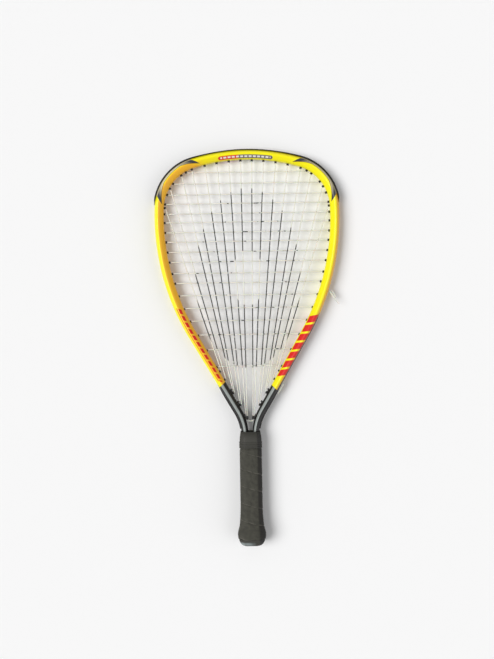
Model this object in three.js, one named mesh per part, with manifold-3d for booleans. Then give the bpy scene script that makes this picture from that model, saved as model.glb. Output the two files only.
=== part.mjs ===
// A racquetball racket: one hollow tube bent into a teardrop head and two shafts, a bumper
// guard and grommet strips in its outer groove, a bed of 16 main and 18 cross strings, and a
// handle of two pallet halves with a butt cap, a wound grip, finishing tape and a rubber collar.
// Millimetres. X is the width, +Y runs from butt to head, the string plane is Z = 0.
// The origin is the middle of the racket's box. Inside the racket group, Y = 0 is the butt end.

import * as THREE from 'three';
import { mergeVertices } from 'three/addons/utils/BufferGeometryUtils.js';
import Module from 'manifold-3d';

const wasm = await Module();
wasm.setup();

const degrees = Math.PI / 180;

// Whole racket
const racketLength = 558.8;
const fitGap = 0.3;
const cutOverrun = 2;
const weldDistance = 0.001;

// Centre line of the frame tube, from the middle of the crown to the butt end of a shaft
const crownRadius = 264;
const crownAngle = 16.6 * degrees;
const cornerRadius = 67.5;
const cornerAngle = 70.9 * degrees;
const straightShare = 0.386;
const throatRadius = 68;
const throatEndDrop = 5.24;
const shaftSpacing = 14.8;
const shaftEndY = 14;

// Section of the frame tube
const headTubeWidth = 13;
const headTubeDepth = 21;
const throatTubeWidth = 10.6;
const throatTubeDepth = 17.4;
const collarTubeWidth = 9.8;
const collarTubeDepth = 16;
const handleTubeWidth = 8;
const handleTubeDepth = 13.2;
const tubeWall = 1.5;
const tubeFaceWall = 2.4;
const grooveDepth = 4.4;
const grooveHalfWidth = 3.6;
const grooveEndRise = 4.3;
// Right half of the section above the string plane: shares of the half width and half depth
const tubeOutlineShares = [[1, 0.42], [0.9, 0.7], [0.42, 1], [-0.04, 1], [-0.96, 0.36]];
const tubeBoreShares = [[1, 0.45], [0.2, 1], [-1, 0.34]];

// Bumper guard and grommet strips
const bumperProud = 1.9;
const bumperCrownProud = 1.1;
const bumperHalfDepth = 6.4;
const bumperEdgeBevel = 0.9;
const stripFloor = 0.7;
const stripWall = 0.7;
const stripInset = 0.3;
const throatStripProud = 1.4;
const grommetRadius = 1.45;
const grommetStandOut = 0.9;
const boreRadius = 0.98;
const grommetSides = 5;

// Strings
const stringRadius = 0.65;
const mainSides = 5;
const crossSides = 4;
const knotRadius = 1.15;
const knotLength = 3;
const knotClearance = 0.1;
const bendRoom = 0.9;
const runStep = 10;
const weaveGap = 0.24;
const pairedSpacing = 4;
const crossShares = [
  0.0615, 0.1015, 0.141, 0.1743, 0.21, 0.2415, 0.2776, 0.3117, 0.3484,
  0.3848, 0.426, 0.4612, 0.5063, 0.5527, 0.5985, 0.6493, 0.7032, 0.7637,
];
const lastUpperCross = 12;
// Places of the inner five mains at the crown: shares of the arc from the middle to the first cross
const crownMainShares = [0.09, 0.277, 0.472, 0.668, 0.885];
// The outer three mains pass the frame between two crosses: the cross above and a share of the way on
const cornerMains = [{ above: 1, wayShare: 0.32 }, { above: 2, wayShare: 0.46 }, { above: 4, wayShare: 0.4 }];
const looseEndLength = 24;
const looseLoopRadius = 1.9;
const looseLoopDrop = 1.7;
const looseOutShare = 0.55;
const looseLoopShare = 0.36;
const looseLoopSteps = 8;

// Throat grommets: shares of the way up the shaft from the collar to the lowest cross
const throatGrommetShares = [0.1964, 0.3948, 0.5932, 0.7917, 0.9266];
const throatBoreSpacing = 5.2;
const lugHeight = 2.4;
const smallLugHeight = 1.6;
const lugMargin = 1.5;
const lugHalfDepth = 2.7;
const stemHalfDepth = 2.2;
const stemMargin = 1.1;
const hookWidth = 3;
const hookLength = 5;
const turnRoom = 2.2;

// Handle
const gripWidth = 31.4;
const gripDepth = 25.5;
const gripChamfer = 6.5;
const wrapThickness = 1.8;
const wrapPitch = 24;
const wrapSeamGap = 0.5;
const wrapSeamStart = 5.3;
const wrapStartY = 10.2;
const wrapEndDrop = 4;
const wrapStepsPerTurn = 8;
const palletStartY = 3.5;
const palletEndY = 150;
const palletSplit = 0.3;
const spigotDrop = 0.8;
const neckDrop = 1.7;
const neckTaper = 2.5;
const collarLap = 12.7;
const collarNeck = 10.7;
const collarWall = 0.95;
const collarTopWidth = 27.6;
const collarTopDepth = 19.6;
const collarTopChamfer = 4.2;
const tapeThickness = 0.35;
const tapeWidth = 8;
const tapeEndDrop = 2;
const capWall = 3.2;
const capEndY = 33;
const tetherHoleRadius = 2.5;
const tetherPocketRadius = 4;
const tetherPocketDepth = 8;
const capFlare = 4.6;
const capTaper = 1.8;
// Butt cap, bare end and then under the wrap: shares of its length, and of its flare past the core
const capEndShares = [[0, -0.78], [0.07, 0], [0.15, 0.565], [0.258, 1], [0.288, 1]];
const capBodyShares = [
  [0.3, 0.78], [0.38, 0.93], [0.485, 0.98], [0.6, 0.87], [0.76, 0.5], [0.85, 0.35], [1, 0.3],
];

// Staples that hold the butt cap
const stapleWidth = 8;
const stapleWire = 0.7;
const stapleLeg = 4.2;
const stapleDrop = 2.6;

// Heights at the top of the handle, from the end of the pallets, and of the staples in the cap
const collarStartY = palletEndY - collarLap;
const collarEndY = palletEndY + collarNeck;
const wrapEndY = palletEndY - wrapEndDrop;
const tapeEndY = palletEndY - tapeEndDrop;
const tapeStartY = tapeEndY - tapeWidth;
const stapleY = capEndY - stapleDrop;

// Geometry helpers

// A closed solid from rings of points of one count; outline gives the flat ends' triangles
function ringGeometry(rings, outline) {
  const count = rings[0].length;
  const positions = rings.flat().flatMap((point) => [point.x, point.y, point.z]);
  const index = [];
  for (let r = 0; r + 1 < rings.length; r += 1) {
    for (let i = 0; i < count; i += 1) {
      const j = (i + 1) % count;
      const a = r * count + i;
      const b = r * count + j;
      index.push(a, b, b + count, a, b + count, a + count);
    }
  }
  const last = (rings.length - 1) * count;
  const flat = outline.map(([u, v]) => new THREE.Vector2(u, v));
  const clockwise = THREE.ShapeUtils.isClockWise(flat);
  for (const triangle of THREE.ShapeUtils.triangulateShape(flat, [])) {
    const [a, b, c] = clockwise ? triangle.toReversed() : triangle;
    index.push(a, c, b, last + a, last + b, last + c);
  }
  return outward(positions, index);
}

// The faces are turned round if they enclose a negative volume
function outward(positions, index) {
  const geometry = new THREE.BufferGeometry();
  const points = new THREE.Float32BufferAttribute(positions, 3);
  const point = (i) => new THREE.Vector3().fromBufferAttribute(points, i);
  let volume = 0;
  for (let t = 0; t < index.length; t += 3) {
    const [a, b, c] = [point(index[t]), point(index[t + 1]), point(index[t + 2])];
    volume += a.dot(b.cross(c));
  }
  geometry.setAttribute('position', points);
  geometry.setIndex(volume < 0 ? index.slice().reverse() : index);
  return geometry;
}

// A box or a bar with only its positions left, so that faces share their corners
function bare(geometry) {
  geometry.deleteAttribute('normal');
  geometry.deleteAttribute('uv');
  return mergeVertices(geometry, weldDistance);
}

const box = (x, y, z) => bare(new THREE.BoxGeometry(x, y, z));
const bar = (radius, length, sides) => bare(new THREE.CylinderGeometry(radius, radius, length, sides));

function solid(geometry) {
  return new wasm.Manifold(new wasm.Mesh({
    numProp: 3,
    vertProperties: new Float32Array(geometry.attributes.position.array),
    triVerts: new Uint32Array(geometry.index.array),
  }));
}

function joined(base, pieces) {
  return pieces.reduce((sum, piece) => sum.add(solid(piece)), base);
}

function cut(base, cutters) {
  return cutters.reduce((rest, cutter) => rest.subtract(solid(cutter)), base);
}

function geometryOf(body) {
  const mesh = body.getMesh();
  const geometry = new THREE.BufferGeometry();
  geometry.setAttribute('position', new THREE.Float32BufferAttribute(mesh.vertProperties, 3));
  geometry.setIndex(new THREE.Uint32BufferAttribute(mesh.triVerts, 1));
  return geometry;
}

const racket = new THREE.Group();
racket.position.y = -racketLength / 2;

function addPiece(name, geometry, look) {
  const shaded = geometry.toNonIndexed();
  shaded.computeVertexNormals();
  const mesh = new THREE.Mesh(shaded, new THREE.MeshStandardMaterial(look));
  mesh.name = name;
  racket.add(mesh);
}

// Looks, from the photographed colours
const yellowLacquer = { color: '#ffe21f', roughness: 0.28, metalness: 0 };
const blackNylon = { color: '#1e1b1a', roughness: 0.55, metalness: 0 };
const creamNylon = { color: '#f4f2e4', roughness: 0.35, metalness: 0 };
const greyFoam = { color: '#8d8a83', roughness: 0.9, metalness: 0 };
const darkRubber = { color: '#3a3835', roughness: 0.7, metalness: 0 };
const gripLeather = { color: '#45413c', roughness: 0.75, metalness: 0 };
const tapeVinyl = { color: '#26241f', roughness: 0.5, metalness: 0 };
const stapleSteel = { color: '#b9bbbd', roughness: 0.35, metalness: 1 };

// A value between two limits at which a falling measure reaches its target
function whereItFalls(measure, target, from, to) {
  let [low, high] = [from, to];
  for (let step = 0; step < 50; step += 1) {
    const middle = (low + high) / 2;
    if (measure(middle) > target) low = middle;
    else high = middle;
  }
  return (low + high) / 2;
}

// Centre line of the frame: stretches of constant bend, measured from the middle of the crown
const crownY = racketLength - bumperCrownProud - headTubeWidth / 2;

function stretchEnd(start, length, bend) {
  const heading = start.heading + bend * length;
  if (bend === 0) {
    const x = start.x + length * Math.cos(heading);
    return { x, y: start.y - length * Math.sin(heading), heading };
  }
  const x = start.x + (Math.sin(heading) - Math.sin(start.heading)) / bend;
  return { x, y: start.y + (Math.cos(heading) - Math.cos(start.heading)) / bend, heading };
}

const stretches = [];
function addStretch(length, bend, steps) {
  const previous = stretches.at(-1);
  const start = previous ? previous.end : { x: 0, y: crownY, heading: 0 };
  const from = previous ? previous.to : 0;
  stretches.push({ start, from, to: from + length, bend, steps, end: stretchEnd(start, length, bend) });
}

addStretch(crownRadius * crownAngle, 1 / crownRadius, 3);
addStretch(cornerRadius * cornerAngle, 1 / cornerRadius, 8);

// From the corner down to the shaft: the straight takes its share of the drop, the flank has
// the radius that makes up the rest, and the throat bends so far that it meets the shaft
const cornerEnd = stretches.at(-1).end;
const flankDrop = cornerEnd.y - collarEndY + throatEndDrop;
const straightLength = straightShare * flankDrop;
function flankRadiusFor(throatAngle) {
  const throatDrop = straightLength * Math.cos(throatAngle) + throatRadius * Math.sin(throatAngle);
  return (flankDrop - throatDrop) / (Math.cos(cornerEnd.heading) + Math.sin(throatAngle));
}
function shaftXFor(throatAngle) {
  const turn = Math.sin(cornerEnd.heading) - Math.cos(throatAngle);
  const flankX = cornerEnd.x - flankRadiusFor(throatAngle) * turn;
  return flankX - straightLength * Math.sin(throatAngle) - throatRadius * (1 - Math.cos(throatAngle));
}
const throatAngle = whereItFalls(shaftXFor, shaftSpacing / 2, 0, Math.PI / 2);
const flankRadius = flankRadiusFor(throatAngle);
addStretch(flankRadius * (throatAngle + Math.PI / 2 - cornerEnd.heading), 1 / flankRadius, 7);
const flankEnd = stretches.at(-1);
addStretch(straightLength, 0, 1);
const straightEnd = stretches.at(-1);
addStretch(throatRadius * throatAngle, -1 / throatRadius, 4);
addStretch(stretches.at(-1).end.y - shaftEndY, 0, 1);
const pathEnd = stretches.at(-1).to;

// A place on the centre line: negative distances lie on the left half
function stationAt(distance) {
  const side = distance < 0 ? -1 : 1;
  const along = Math.min(Math.abs(distance), pathEnd);
  const stretch = stretches.find((one) => along <= one.to) ?? stretches.at(-1);
  const { x, y, heading } = stretchEnd(stretch.start, along - stretch.from, stretch.bend);
  return {
    distance,
    centre: new THREE.Vector3(side * x, y, 0),
    normal: new THREE.Vector3(side * Math.sin(heading), Math.cos(heading), 0),
    along: new THREE.Vector3(side * Math.cos(heading), -Math.sin(heading), 0),
  };
}

// A point beside the centre line: out is outwards in the string plane, up is along Z
function beside(distance, out, up = 0) {
  const { centre, normal } = stationAt(distance);
  return new THREE.Vector3(0, 0, up).add(centre).addScaledVector(normal, out);
}

const distanceWhere = (measure, value) => whereItFalls(measure, value, 0, pathEnd);
const atHeight = (y) => distanceWhere((distance) => stationAt(distance).centre.y, y);
const collarTop = atHeight(collarEndY);
const palletTop = atHeight(palletEndY);
const grooveEnd = atHeight(collarEndY + grooveEndRise);

// Half width and half depth of the tube at a distance
const tubeSizes = [
  [0, headTubeWidth, headTubeDepth],
  [flankEnd.to, headTubeWidth, headTubeDepth],
  [straightEnd.to, throatTubeWidth, throatTubeDepth],
  [collarTop, collarTubeWidth, collarTubeDepth],
  [palletTop - cutOverrun, handleTubeWidth, handleTubeDepth],
  [pathEnd, handleTubeWidth, handleTubeDepth],
];

function tubeHalf(distance) {
  const along = Math.min(Math.abs(distance), pathEnd);
  const next = Math.max(1, tubeSizes.findIndex(([to]) => along <= to));
  const [from, width, depth] = tubeSizes[next - 1];
  const [to, nextWidth, nextDepth] = tubeSizes[next];
  const share = (along - from) / (to - from);
  return [
    THREE.MathUtils.lerp(width, nextWidth, share) / 2,
    THREE.MathUtils.lerp(depth, nextDepth, share) / 2,
  ];
}

// An outline given above the string plane, closed by its mirror image below it
function mirrored(upper) {
  return [...upper, ...upper.toReversed().map(([out, up]) => [out, -up])];
}

const fromShares = (shares, width, depth) => mirrored(shares.map(([u, v]) => [u * width, v * depth]));

// Places of the cross strings and of every string hole
const crossHeights = crossShares.map((share) => crownY - share * (crownY - collarEndY));
const mouthOut = (distance) => -(tubeHalf(distance)[0] + grommetStandOut + bendRoom);
const mouthHeight = (distance) => beside(distance, mouthOut(distance)).y;
const crossPlaces = crossHeights.map((height) => distanceWhere(mouthHeight, height));
const mainPlaces = [
  ...crownMainShares.map((share) => share * crossPlaces[0]),
  ...cornerMains.map(({ above, wayShare }) => THREE.MathUtils.lerp(
    crossPlaces[above - 1], crossPlaces[above], wayShare)),
];
const grommetPlaces = throatGrommetShares.map(
  (share) => THREE.MathUtils.lerp(collarTop, crossPlaces.at(-1), share));

// Ends of the bumper guard and the strips along the centre line
const endMargin = grommetRadius + 2 * stripFloor;
const flangeEnd = crossPlaces[3] + endMargin;
const bumperEnd = mainPlaces.at(-1) + endMargin;
const sideStart = bumperEnd + fitGap;
const sideEnd = (crossPlaces.at(-1) + grommetPlaces.at(-1)) / 2;
const throatStart = sideEnd + fitGap;
const throatEnd = grooveEnd - fitGap;

// Stations at which every sweep along the frame has a ring
const rightStops = [0, collarTop, palletTop - cutOverrun];
for (const { from, to, steps } of stretches) {
  for (let step = 1; step <= steps; step += 1) rightStops.push(from + (to - from) * step / steps);
}
const stops = [...rightStops.slice(1).map((stop) => -stop), ...rightStops].sort((a, b) => a - b);

function sweepAlongFrame(from, to, sectionAt) {
  const between = stops.filter((stop) => stop > from + fitGap && stop < to - fitGap);
  const places = [from, ...between, to];
  const rings = places.map((place) => sectionAt(place).map(([out, up]) => beside(place, out, up)));
  return ringGeometry(rings, sectionAt(from));
}

// A straight bar of a given section through the tube, along its outward normal
function barAcross(distance, radius, fromOut, toOut) {
  const across = bar(radius, toOut - fromOut, grommetSides);
  across.applyQuaternion(new THREE.Quaternion().setFromUnitVectors(
    new THREE.Vector3(0, 1, 0), stationAt(distance).normal));
  const middle = beside(distance, (fromOut + toOut) / 2);
  return across.translate(middle.x, middle.y, middle.z);
}

// A box across the tube: long is along the centre line, deep is along Z
function boxAcross(distance, long, deep, fromOut, toOut) {
  const { normal, along } = stationAt(distance);
  const block = box(toOut - fromOut, long, deep);
  const turn = new THREE.Matrix4().makeBasis(
    normal, along, new THREE.Vector3().crossVectors(normal, along));
  const middle = beside(distance, (fromOut + toOut) / 2);
  return block.applyMatrix4(turn).translate(middle.x, middle.y, middle.z);
}

// Circumscribed radius of a many-sided bar whose flats lie at a given radius
const acrossCorners = (flatRadius) => flatRadius / Math.cos(Math.PI / grommetSides);

// Levels of the groove, outwards from the centre line
const grooveFloor = (distance) => tubeHalf(distance)[0] - grooveDepth;
const stripBase = (distance) => grooveFloor(distance) + fitGap;
const lowRun = (distance) => stripBase(distance) + stripFloor + fitGap + stringRadius;
const highRun = (distance) => lowRun(distance) + 2 * stringRadius + fitGap;
const channelHalf = grooveHalfWidth - fitGap - stripWall;

// Frame tube
function frameTube() {
  const outline = (place) => fromShares(tubeOutlineShares, ...tubeHalf(place));
  const bore = (place) => {
    const [width, depth] = tubeHalf(place);
    return fromShares(tubeBoreShares, width - tubeWall, depth - tubeFaceWall);
  };
  const groove = (room) => (place) => {
    const [width] = tubeHalf(place);
    const low = grooveFloor(place) - room;
    return mirrored([[low, grooveHalfWidth + room], [width + cutOverrun, grooveHalfWidth + room]]);
  };
  let tube = solid(sweepAlongFrame(-pathEnd, pathEnd, outline));
  const hollow = solid(sweepAlongFrame(-pathEnd - cutOverrun, pathEnd + cutOverrun, bore));
  const grooveWalls = sweepAlongFrame(-grooveEnd - tubeWall, grooveEnd + tubeWall, groove(tubeWall));
  tube = tube.subtract(cut(hollow, [grooveWalls]));
  tube = cut(tube, [sweepAlongFrame(-grooveEnd, grooveEnd, groove(0))]);
  const holeRadius = acrossCorners(grommetRadius + fitGap);
  for (const place of [...crossPlaces, ...mainPlaces]) {
    const [reach] = tubeHalf(place);
    for (const side of [-1, 1]) {
      tube = cut(tube, [barAcross(side * place, holeRadius, -reach - cutOverrun, reach)]);
    }
  }
  for (const grommet of throatGrommets) {
    const [reach] = tubeHalf(grommet.place);
    const deep = 2 * (stemHalfDepth + fitGap);
    const slot = [grommet.stem + 2 * fitGap, deep, -reach - cutOverrun, reach];
    for (const side of [-1, 1]) tube = cut(tube, [boxAcross(side * grommet.place, ...slot)]);
  }
  return geometryOf(tube);
}

// Throat grommets: the lowest has one bore and a hook, the next two have two bores each, the
// upper two have one. A bore's offset is measured along the centre line towards the handle.
const hookPlace = grommetPlaces[0];
const boresOf = [[-hookLength / 2], [throatBoreSpacing / 2, -throatBoreSpacing / 2],
  [throatBoreSpacing / 2, -throatBoreSpacing / 2], [0], [0]];
const throatGrommets = grommetPlaces.map((place, i) => {
  const spread = Math.max(...boresOf[i].map(Math.abs));
  return {
    place,
    bores: boresOf[i].map((offset) => place + offset),
    stem: 2 * (spread + boreRadius + stemMargin),
    lug: [grommetStandOut, lugHeight, lugHeight, smallLugHeight, smallLugHeight][i],
    hooked: i === 0,
  };
});

// The innermost mains run down beside the axis, through the hook of the lowest grommet
const hookTurn = stationAt(hookPlace).centre.y - hookLength / 2;
const hookFace = (height) => {
  const place = atHeight(height);
  return beside(place, -tubeHalf(place)[0]).x;
};
const innermostX = hookFace(hookTurn - turnRoom) - 2 * fitGap - stringRadius;

function throatGrommet(grommet, side) {
  const place = side * grommet.place;
  const [reach] = tubeHalf(place);
  const face = -reach - grommet.lug;
  const lugSize = [grommet.stem + lugMargin, 2 * lugHalfDepth, face, -reach - fitGap];
  const stemSize = [grommet.stem, 2 * stemHalfDepth, -reach - grommet.lug / 2, grooveFloor(place)];
  let body = joined(solid(boxAcross(place, ...lugSize)), [boxAcross(place, ...stemSize)]);
  if (grommet.hooked) {
    const hook = box(hookWidth, hookLength, 2 * lugHalfDepth);
    hook.translate(side * innermostX, hookTurn + hookLength / 2, 0);
    body = joined(body, [hook]);
    const passage = bar(acrossCorners(boreRadius), hookLength + 2 * cutOverrun, grommetSides);
    passage.translate(side * innermostX, hookTurn + hookLength / 2, 0);
    body = cut(body, [passage]);
    const frameFace = boxAcross(place, 2 * grommet.stem, 2 * lugHalfDepth + cutOverrun,
      -reach - fitGap, reach);
    const kept = boxAcross(place, grommet.stem, 2 * stemHalfDepth, -reach - grommet.lug, reach);
    body = body.subtract(cut(solid(frameFace), [kept]));
  }
  const bore = acrossCorners(boreRadius);
  const bores = grommet.bores.map((at) => barAcross(
    side * at, bore, -reach - hookWidth - cutOverrun, reach));
  return geometryOf(cut(body, bores));
}

// Bumper guard and strips
const channelSection = (proudAt) => (place) => {
  const [width] = tubeHalf(place);
  const base = stripBase(place);
  const top = width + proudAt(Math.abs(place));
  return mirrored([[base + stripFloor, channelHalf], [top, channelHalf],
    [top, grooveHalfWidth - fitGap], [base, grooveHalfWidth - fitGap]]);
};

function flangeSection(place) {
  const [width] = tubeHalf(place);
  const rise = THREE.MathUtils.smoothstep(Math.abs(place), mainPlaces[2], crossPlaces[0]);
  const proud = THREE.MathUtils.lerp(bumperCrownProud, bumperProud, rise);
  const base = stripBase(place);
  return mirrored([[base + stripFloor, channelHalf], [width + proud, channelHalf],
    [width + proud, bumperHalfDepth - bumperEdgeBevel],
    [width + fitGap + (proud - fitGap) / 2, bumperHalfDepth], [width + fitGap, bumperHalfDepth],
    [width + fitGap, grooveHalfWidth - fitGap], [base, grooveHalfWidth - fitGap]]);
}

function withGrommets(body, places) {
  for (const place of places) {
    const [reach] = tubeHalf(place);
    const barrel = barAcross(place, acrossCorners(grommetRadius), -reach - grommetStandOut,
      stripBase(place) + stripFloor / 2);
    body = joined(body, [barrel]);
  }
  return withBores(body, places);
}

function withBores(body, places) {
  for (const place of places) {
    const [reach] = tubeHalf(place);
    const bore = barAcross(place, acrossCorners(boreRadius), -reach - cutOverrun, lowRun(place));
    body = cut(body, [bore]);
  }
  return body;
}

function bumperGuard() {
  const flush = () => -stripInset;
  const channel = sweepAlongFrame(-bumperEnd, bumperEnd, channelSection(flush));
  const body = joined(solid(sweepAlongFrame(-flangeEnd, flangeEnd, flangeSection)), [channel]);
  const held = [...crossPlaces.filter((place) => place < bumperEnd), ...mainPlaces];
  return geometryOf(withGrommets(body, [...held.map((place) => -place), ...held]));
}

// The strips' walls rise out of the groove along the straight towards the throat
function stripProud(place) {
  const rise = THREE.MathUtils.smoothstep(place, crossPlaces.at(-4), grommetPlaces[2]);
  return THREE.MathUtils.lerp(-stripInset, throatStripProud, rise);
}

function sideStrip(side) {
  const ends = [side * sideStart, side * sideEnd].sort((a, b) => a - b);
  const body = solid(sweepAlongFrame(...ends, channelSection(stripProud)));
  const held = crossPlaces.filter((place) => place > sideStart);
  return geometryOf(withGrommets(body, held.map((place) => side * place)));
}

function throatStrip(side) {
  const ends = [side * throatStart, side * throatEnd].sort((a, b) => a - b);
  const body = solid(sweepAlongFrame(...ends, channelSection(stripProud)));
  const held = throatGrommets.flatMap((grommet) => grommet.bores);
  return geometryOf(withBores(body, held.map((place) => side * place)));
}

// Strings

// A tube of a given number of sides along points, mitred at its bends; a point may be thicker
function stringGeometry(points, sides, radii = []) {
  const outline = [...Array(sides).keys()].map((i) => {
    const angle = 2 * Math.PI * i / sides;
    return [Math.cos(angle), Math.sin(angle)];
  });
  const directions = points.slice(1).map((point, i) => point.clone().sub(points[i]).normalize());
  const rings = [];
  let across = new THREE.Vector3(0, 0, 1).cross(directions[0]).normalize();
  points.forEach((point, i) => {
    const before = directions[Math.max(i - 1, 0)];
    const after = directions[Math.min(i, directions.length - 1)];
    const up = new THREE.Vector3().crossVectors(before, across).normalize();
    const plane = before.clone().add(after).normalize();
    const radius = radii[i] ?? stringRadius;
    rings.push(outline.map(([u, v]) => {
      const corner = across.clone().multiplyScalar(u * radius).addScaledVector(up, v * radius);
      const slide = -corner.dot(plane) / before.dot(plane);
      return corner.addScaledVector(before, slide).add(point);
    }));
    const turn = new THREE.Quaternion().setFromUnitVectors(before, after);
    across.applyQuaternion(turn);
  });
  return ringGeometry(rings, outline);
}

// The outside run between two holes of one side, at a level of the groove
function outsideRun(from, to, level, aside = 0) {
  const steps = Math.ceil(Math.abs(to - from) / runStep);
  return [...Array(steps + 1).keys()].map((step) => {
    const place = from + (to - from) * step / steps;
    return beside(place, level(place), aside);
  });
}

// Mouths of the mains' holes, inside the hoop. The innermost main turns at its hook, and each
// main outside it has the next bore up the shaft.
const mainMouths = mainPlaces.map((place) => beside(place, mouthOut(place)));
const lowerHoles = throatGrommets.flatMap(({ bores, lug }) => bores.map((place) => ({ place, lug })));
const lowerPlace = (main) => lowerHoles[main - 1].place;
const mainFeet = [
  new THREE.Vector3(innermostX, hookTurn - turnRoom / 2, 0),
  ...lowerHoles.map(({ place, lug }) => beside(place, -tubeHalf(place)[0] - lug - bendRoom)),
];

// A knot in the groove past a hole: out of the hole, aside and along, thick in its middle
function knotAt(place, level) {
  const lift = knotRadius - stringRadius + knotClearance;
  const aside = knotRadius + knotClearance - channelHalf;
  const ahead = stringRadius * 2;
  const points = [0, knotLength / 2, knotLength].map(
    (step) => beside(place + ahead + step, level(place) + lift, aside));
  return { points, radii: [stringRadius, knotRadius, stringRadius] };
}

// One half of the main string, from its knot at the outermost main to the foot of the innermost
function mainHalf() {
  const outermost = mainPlaces.length - 1;
  const lastHole = lowerPlace(outermost);
  const knot = knotAt(lastHole, highRun);
  const points = [...knot.points.toReversed(), beside(lastHole, highRun(lastHole))];
  const radii = knot.radii.toReversed();
  for (let main = outermost; main >= 1; main -= 2) {
    points.push(mainFeet[main], mainMouths[main]);
    points.push(...outsideRun(mainPlaces[main], mainPlaces[main - 1], highRun));
    points.push(mainMouths[main - 1], mainFeet[main - 1]);
    if (main > 1) points.push(...outsideRun(lowerPlace(main - 1), lowerPlace(main - 2), lowRun));
  }
  points.push(new THREE.Vector3(innermostX - turnRoom / 2, hookTurn - turnRoom, 0));
  return { points, radii };
}

function mainString() {
  const { points, radii } = mainHalf();
  const left = points.map((point) => new THREE.Vector3(-point.x, point.y, point.z)).toReversed();
  const allRadii = [...points, ...left].map((_, i, all) => radii[i] ?? radii[all.length - 1 - i]);
  return stringGeometry([...points, ...left], mainSides, allRadii);
}

const mainXAt = (main, height) => {
  const [foot, mouth] = [mainFeet[main], mainMouths[main]];
  return THREE.MathUtils.mapLinear(height, foot.y, mouth.y, foot.x, mouth.x);
};

// One cross string from left to right, over and under the mains that it meets. It passes two
// mains that lie close together on one side, and rises a little more where it runs steeply.
const weaveRise = 2 * stringRadius + weaveGap;
function crossWeave(cross) {
  const height = crossHeights[cross];
  const mouthX = beside(crossPlaces[cross], mouthOut(crossPlaces[cross])).x;
  const met = [...mainMouths.keys()].filter((main) => mainMouths[main].y > height + stringRadius);
  const rightXs = met.map((main) => mainXAt(main, height)).sort((a, b) => a - b);
  const xs = [...rightXs.map((x) => -x).toReversed(), ...rightXs];
  const crossings = [];
  let over = cross % 2 === 0 ? 1 : -1;
  xs.forEach((x, i) => {
    if (i === 0 || x - xs[i - 1] > pairedSpacing) over = -over;
    crossings.push({ x, over });
  });
  const ends = [{ x: -mouthX, over: 0 }, { x: mouthX, over: 0 }];
  return crossings.map(({ x, over: here }, i) => {
    const neighbours = [crossings[i - 1] ?? ends[0], crossings[i + 1] ?? ends[1]];
    const slopes = neighbours.map((next) => Math.abs(here - next.over) * weaveRise / Math.abs(x - next.x));
    const steepest = Math.atan(Math.max(...slopes));
    return new THREE.Vector3(x, height, here * weaveRise / Math.cos(steepest));
  });
}

// Crosses are joined by outside runs; under the bumper a run keeps clear of the mains' runs
function crossPath(order, firstSide) {
  const points = [];
  let side = firstSide;
  order.forEach((cross, i) => {
    const place = crossPlaces[cross];
    const weave = crossWeave(cross);
    if (side > 0) weave.reverse();
    const ends = [side, -side].map((end) => beside(end * place, mouthOut(place)));
    if (i === 0) points.push(beside(side * place, lowRun(place)));
    points.push(ends[0], ...weave, ends[1]);
    side = -side;
    if (i + 1 < order.length) {
      const next = crossPlaces[order[i + 1]];
      const besideMains = Math.min(place, next) < bumperEnd;
      points.push(...(besideMains ? wallRun : outsideRun)(side * place, side * next, lowRun));
    } else points.push(beside(side * place, lowRun(place)));
  });
  return points;
}

// A run that starts and ends in the middle of the groove and keeps to one wall between
function wallRun(from, to, level) {
  const lead = Math.sign(to - from) * 2 * stringRadius;
  const wall = channelHalf - stringRadius - knotClearance;
  const along = outsideRun(from + lead, to - lead, level, wall);
  return [beside(from, level(from)), ...along, beside(to, level(to))];
}

// The loose end outside the last upper cross: out of its hole, one open loop, and a bare tip
function looseEnd() {
  const place = crossPlaces[lastUpperCross - 1];
  const { normal, along } = stationAt(place);
  const heading = normal.clone().multiplyScalar(looseOutShare);
  heading.addScaledVector(along, Math.sqrt(1 - looseOutShare ** 2));
  const aside = new THREE.Vector3(0, 0, 1).cross(heading);
  const start = beside(place, tubeHalf(place)[0] + stringRadius);
  const loopAt = start.clone().addScaledVector(heading, looseEndLength * looseLoopShare);
  const loop = [...Array(looseLoopSteps + 1).keys()].map((step) => {
    const angle = 2 * Math.PI * step / looseLoopSteps;
    const point = loopAt.clone().addScaledVector(heading, looseLoopRadius * Math.sin(angle));
    point.addScaledVector(aside, looseLoopRadius * (1 - Math.cos(angle)));
    return point.setZ(-stringRadius - looseLoopDrop * step / looseLoopSteps);
  });
  const tip = start.clone().addScaledVector(heading, looseEndLength);
  return [start, ...loop, tip.setZ(loop.at(-1).z - stringRadius)];
}

function upperCrossString() {
  const order = [...Array(lastUpperCross).keys()].toReversed();
  const points = crossPath(order, 1);
  const knot = knotAt(crossPlaces[0], lowRun);
  const all = [...looseEnd().toReversed(), ...points, ...knot.points];
  const radii = all.map((_, i) => knot.radii[i - (all.length - 3)] ?? stringRadius);
  return stringGeometry(all, crossSides, radii);
}

function lowerCrossString() {
  const order = [...crossPlaces.keys()].slice(lastUpperCross);
  const points = crossPath(order, 1);
  const first = knotAt(crossPlaces[lastUpperCross], lowRun);
  const last = knotAt(crossPlaces.at(-1), lowRun);
  const all = [...first.points.toReversed(), ...points, ...last.points];
  const radii = all.map((_, i) => first.radii[i] ?? last.radii[i - (all.length - 3)] ?? stringRadius);
  return stringGeometry(all, crossSides, radii);
}

// Handle

// Octagon in the XZ plane, from its full width and depth and the legs of its cut corners
function octagon(width, depth, chamfer) {
  const [x, z] = [width / 2, depth / 2];
  const corners = [[x, z - chamfer], [x - chamfer, z]];
  const quarter = corners.concat(corners.toReversed().map(([a, b]) => [-a, b]));
  return quarter.concat(quarter.map(([a, b]) => [-a, -b]));
}

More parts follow.
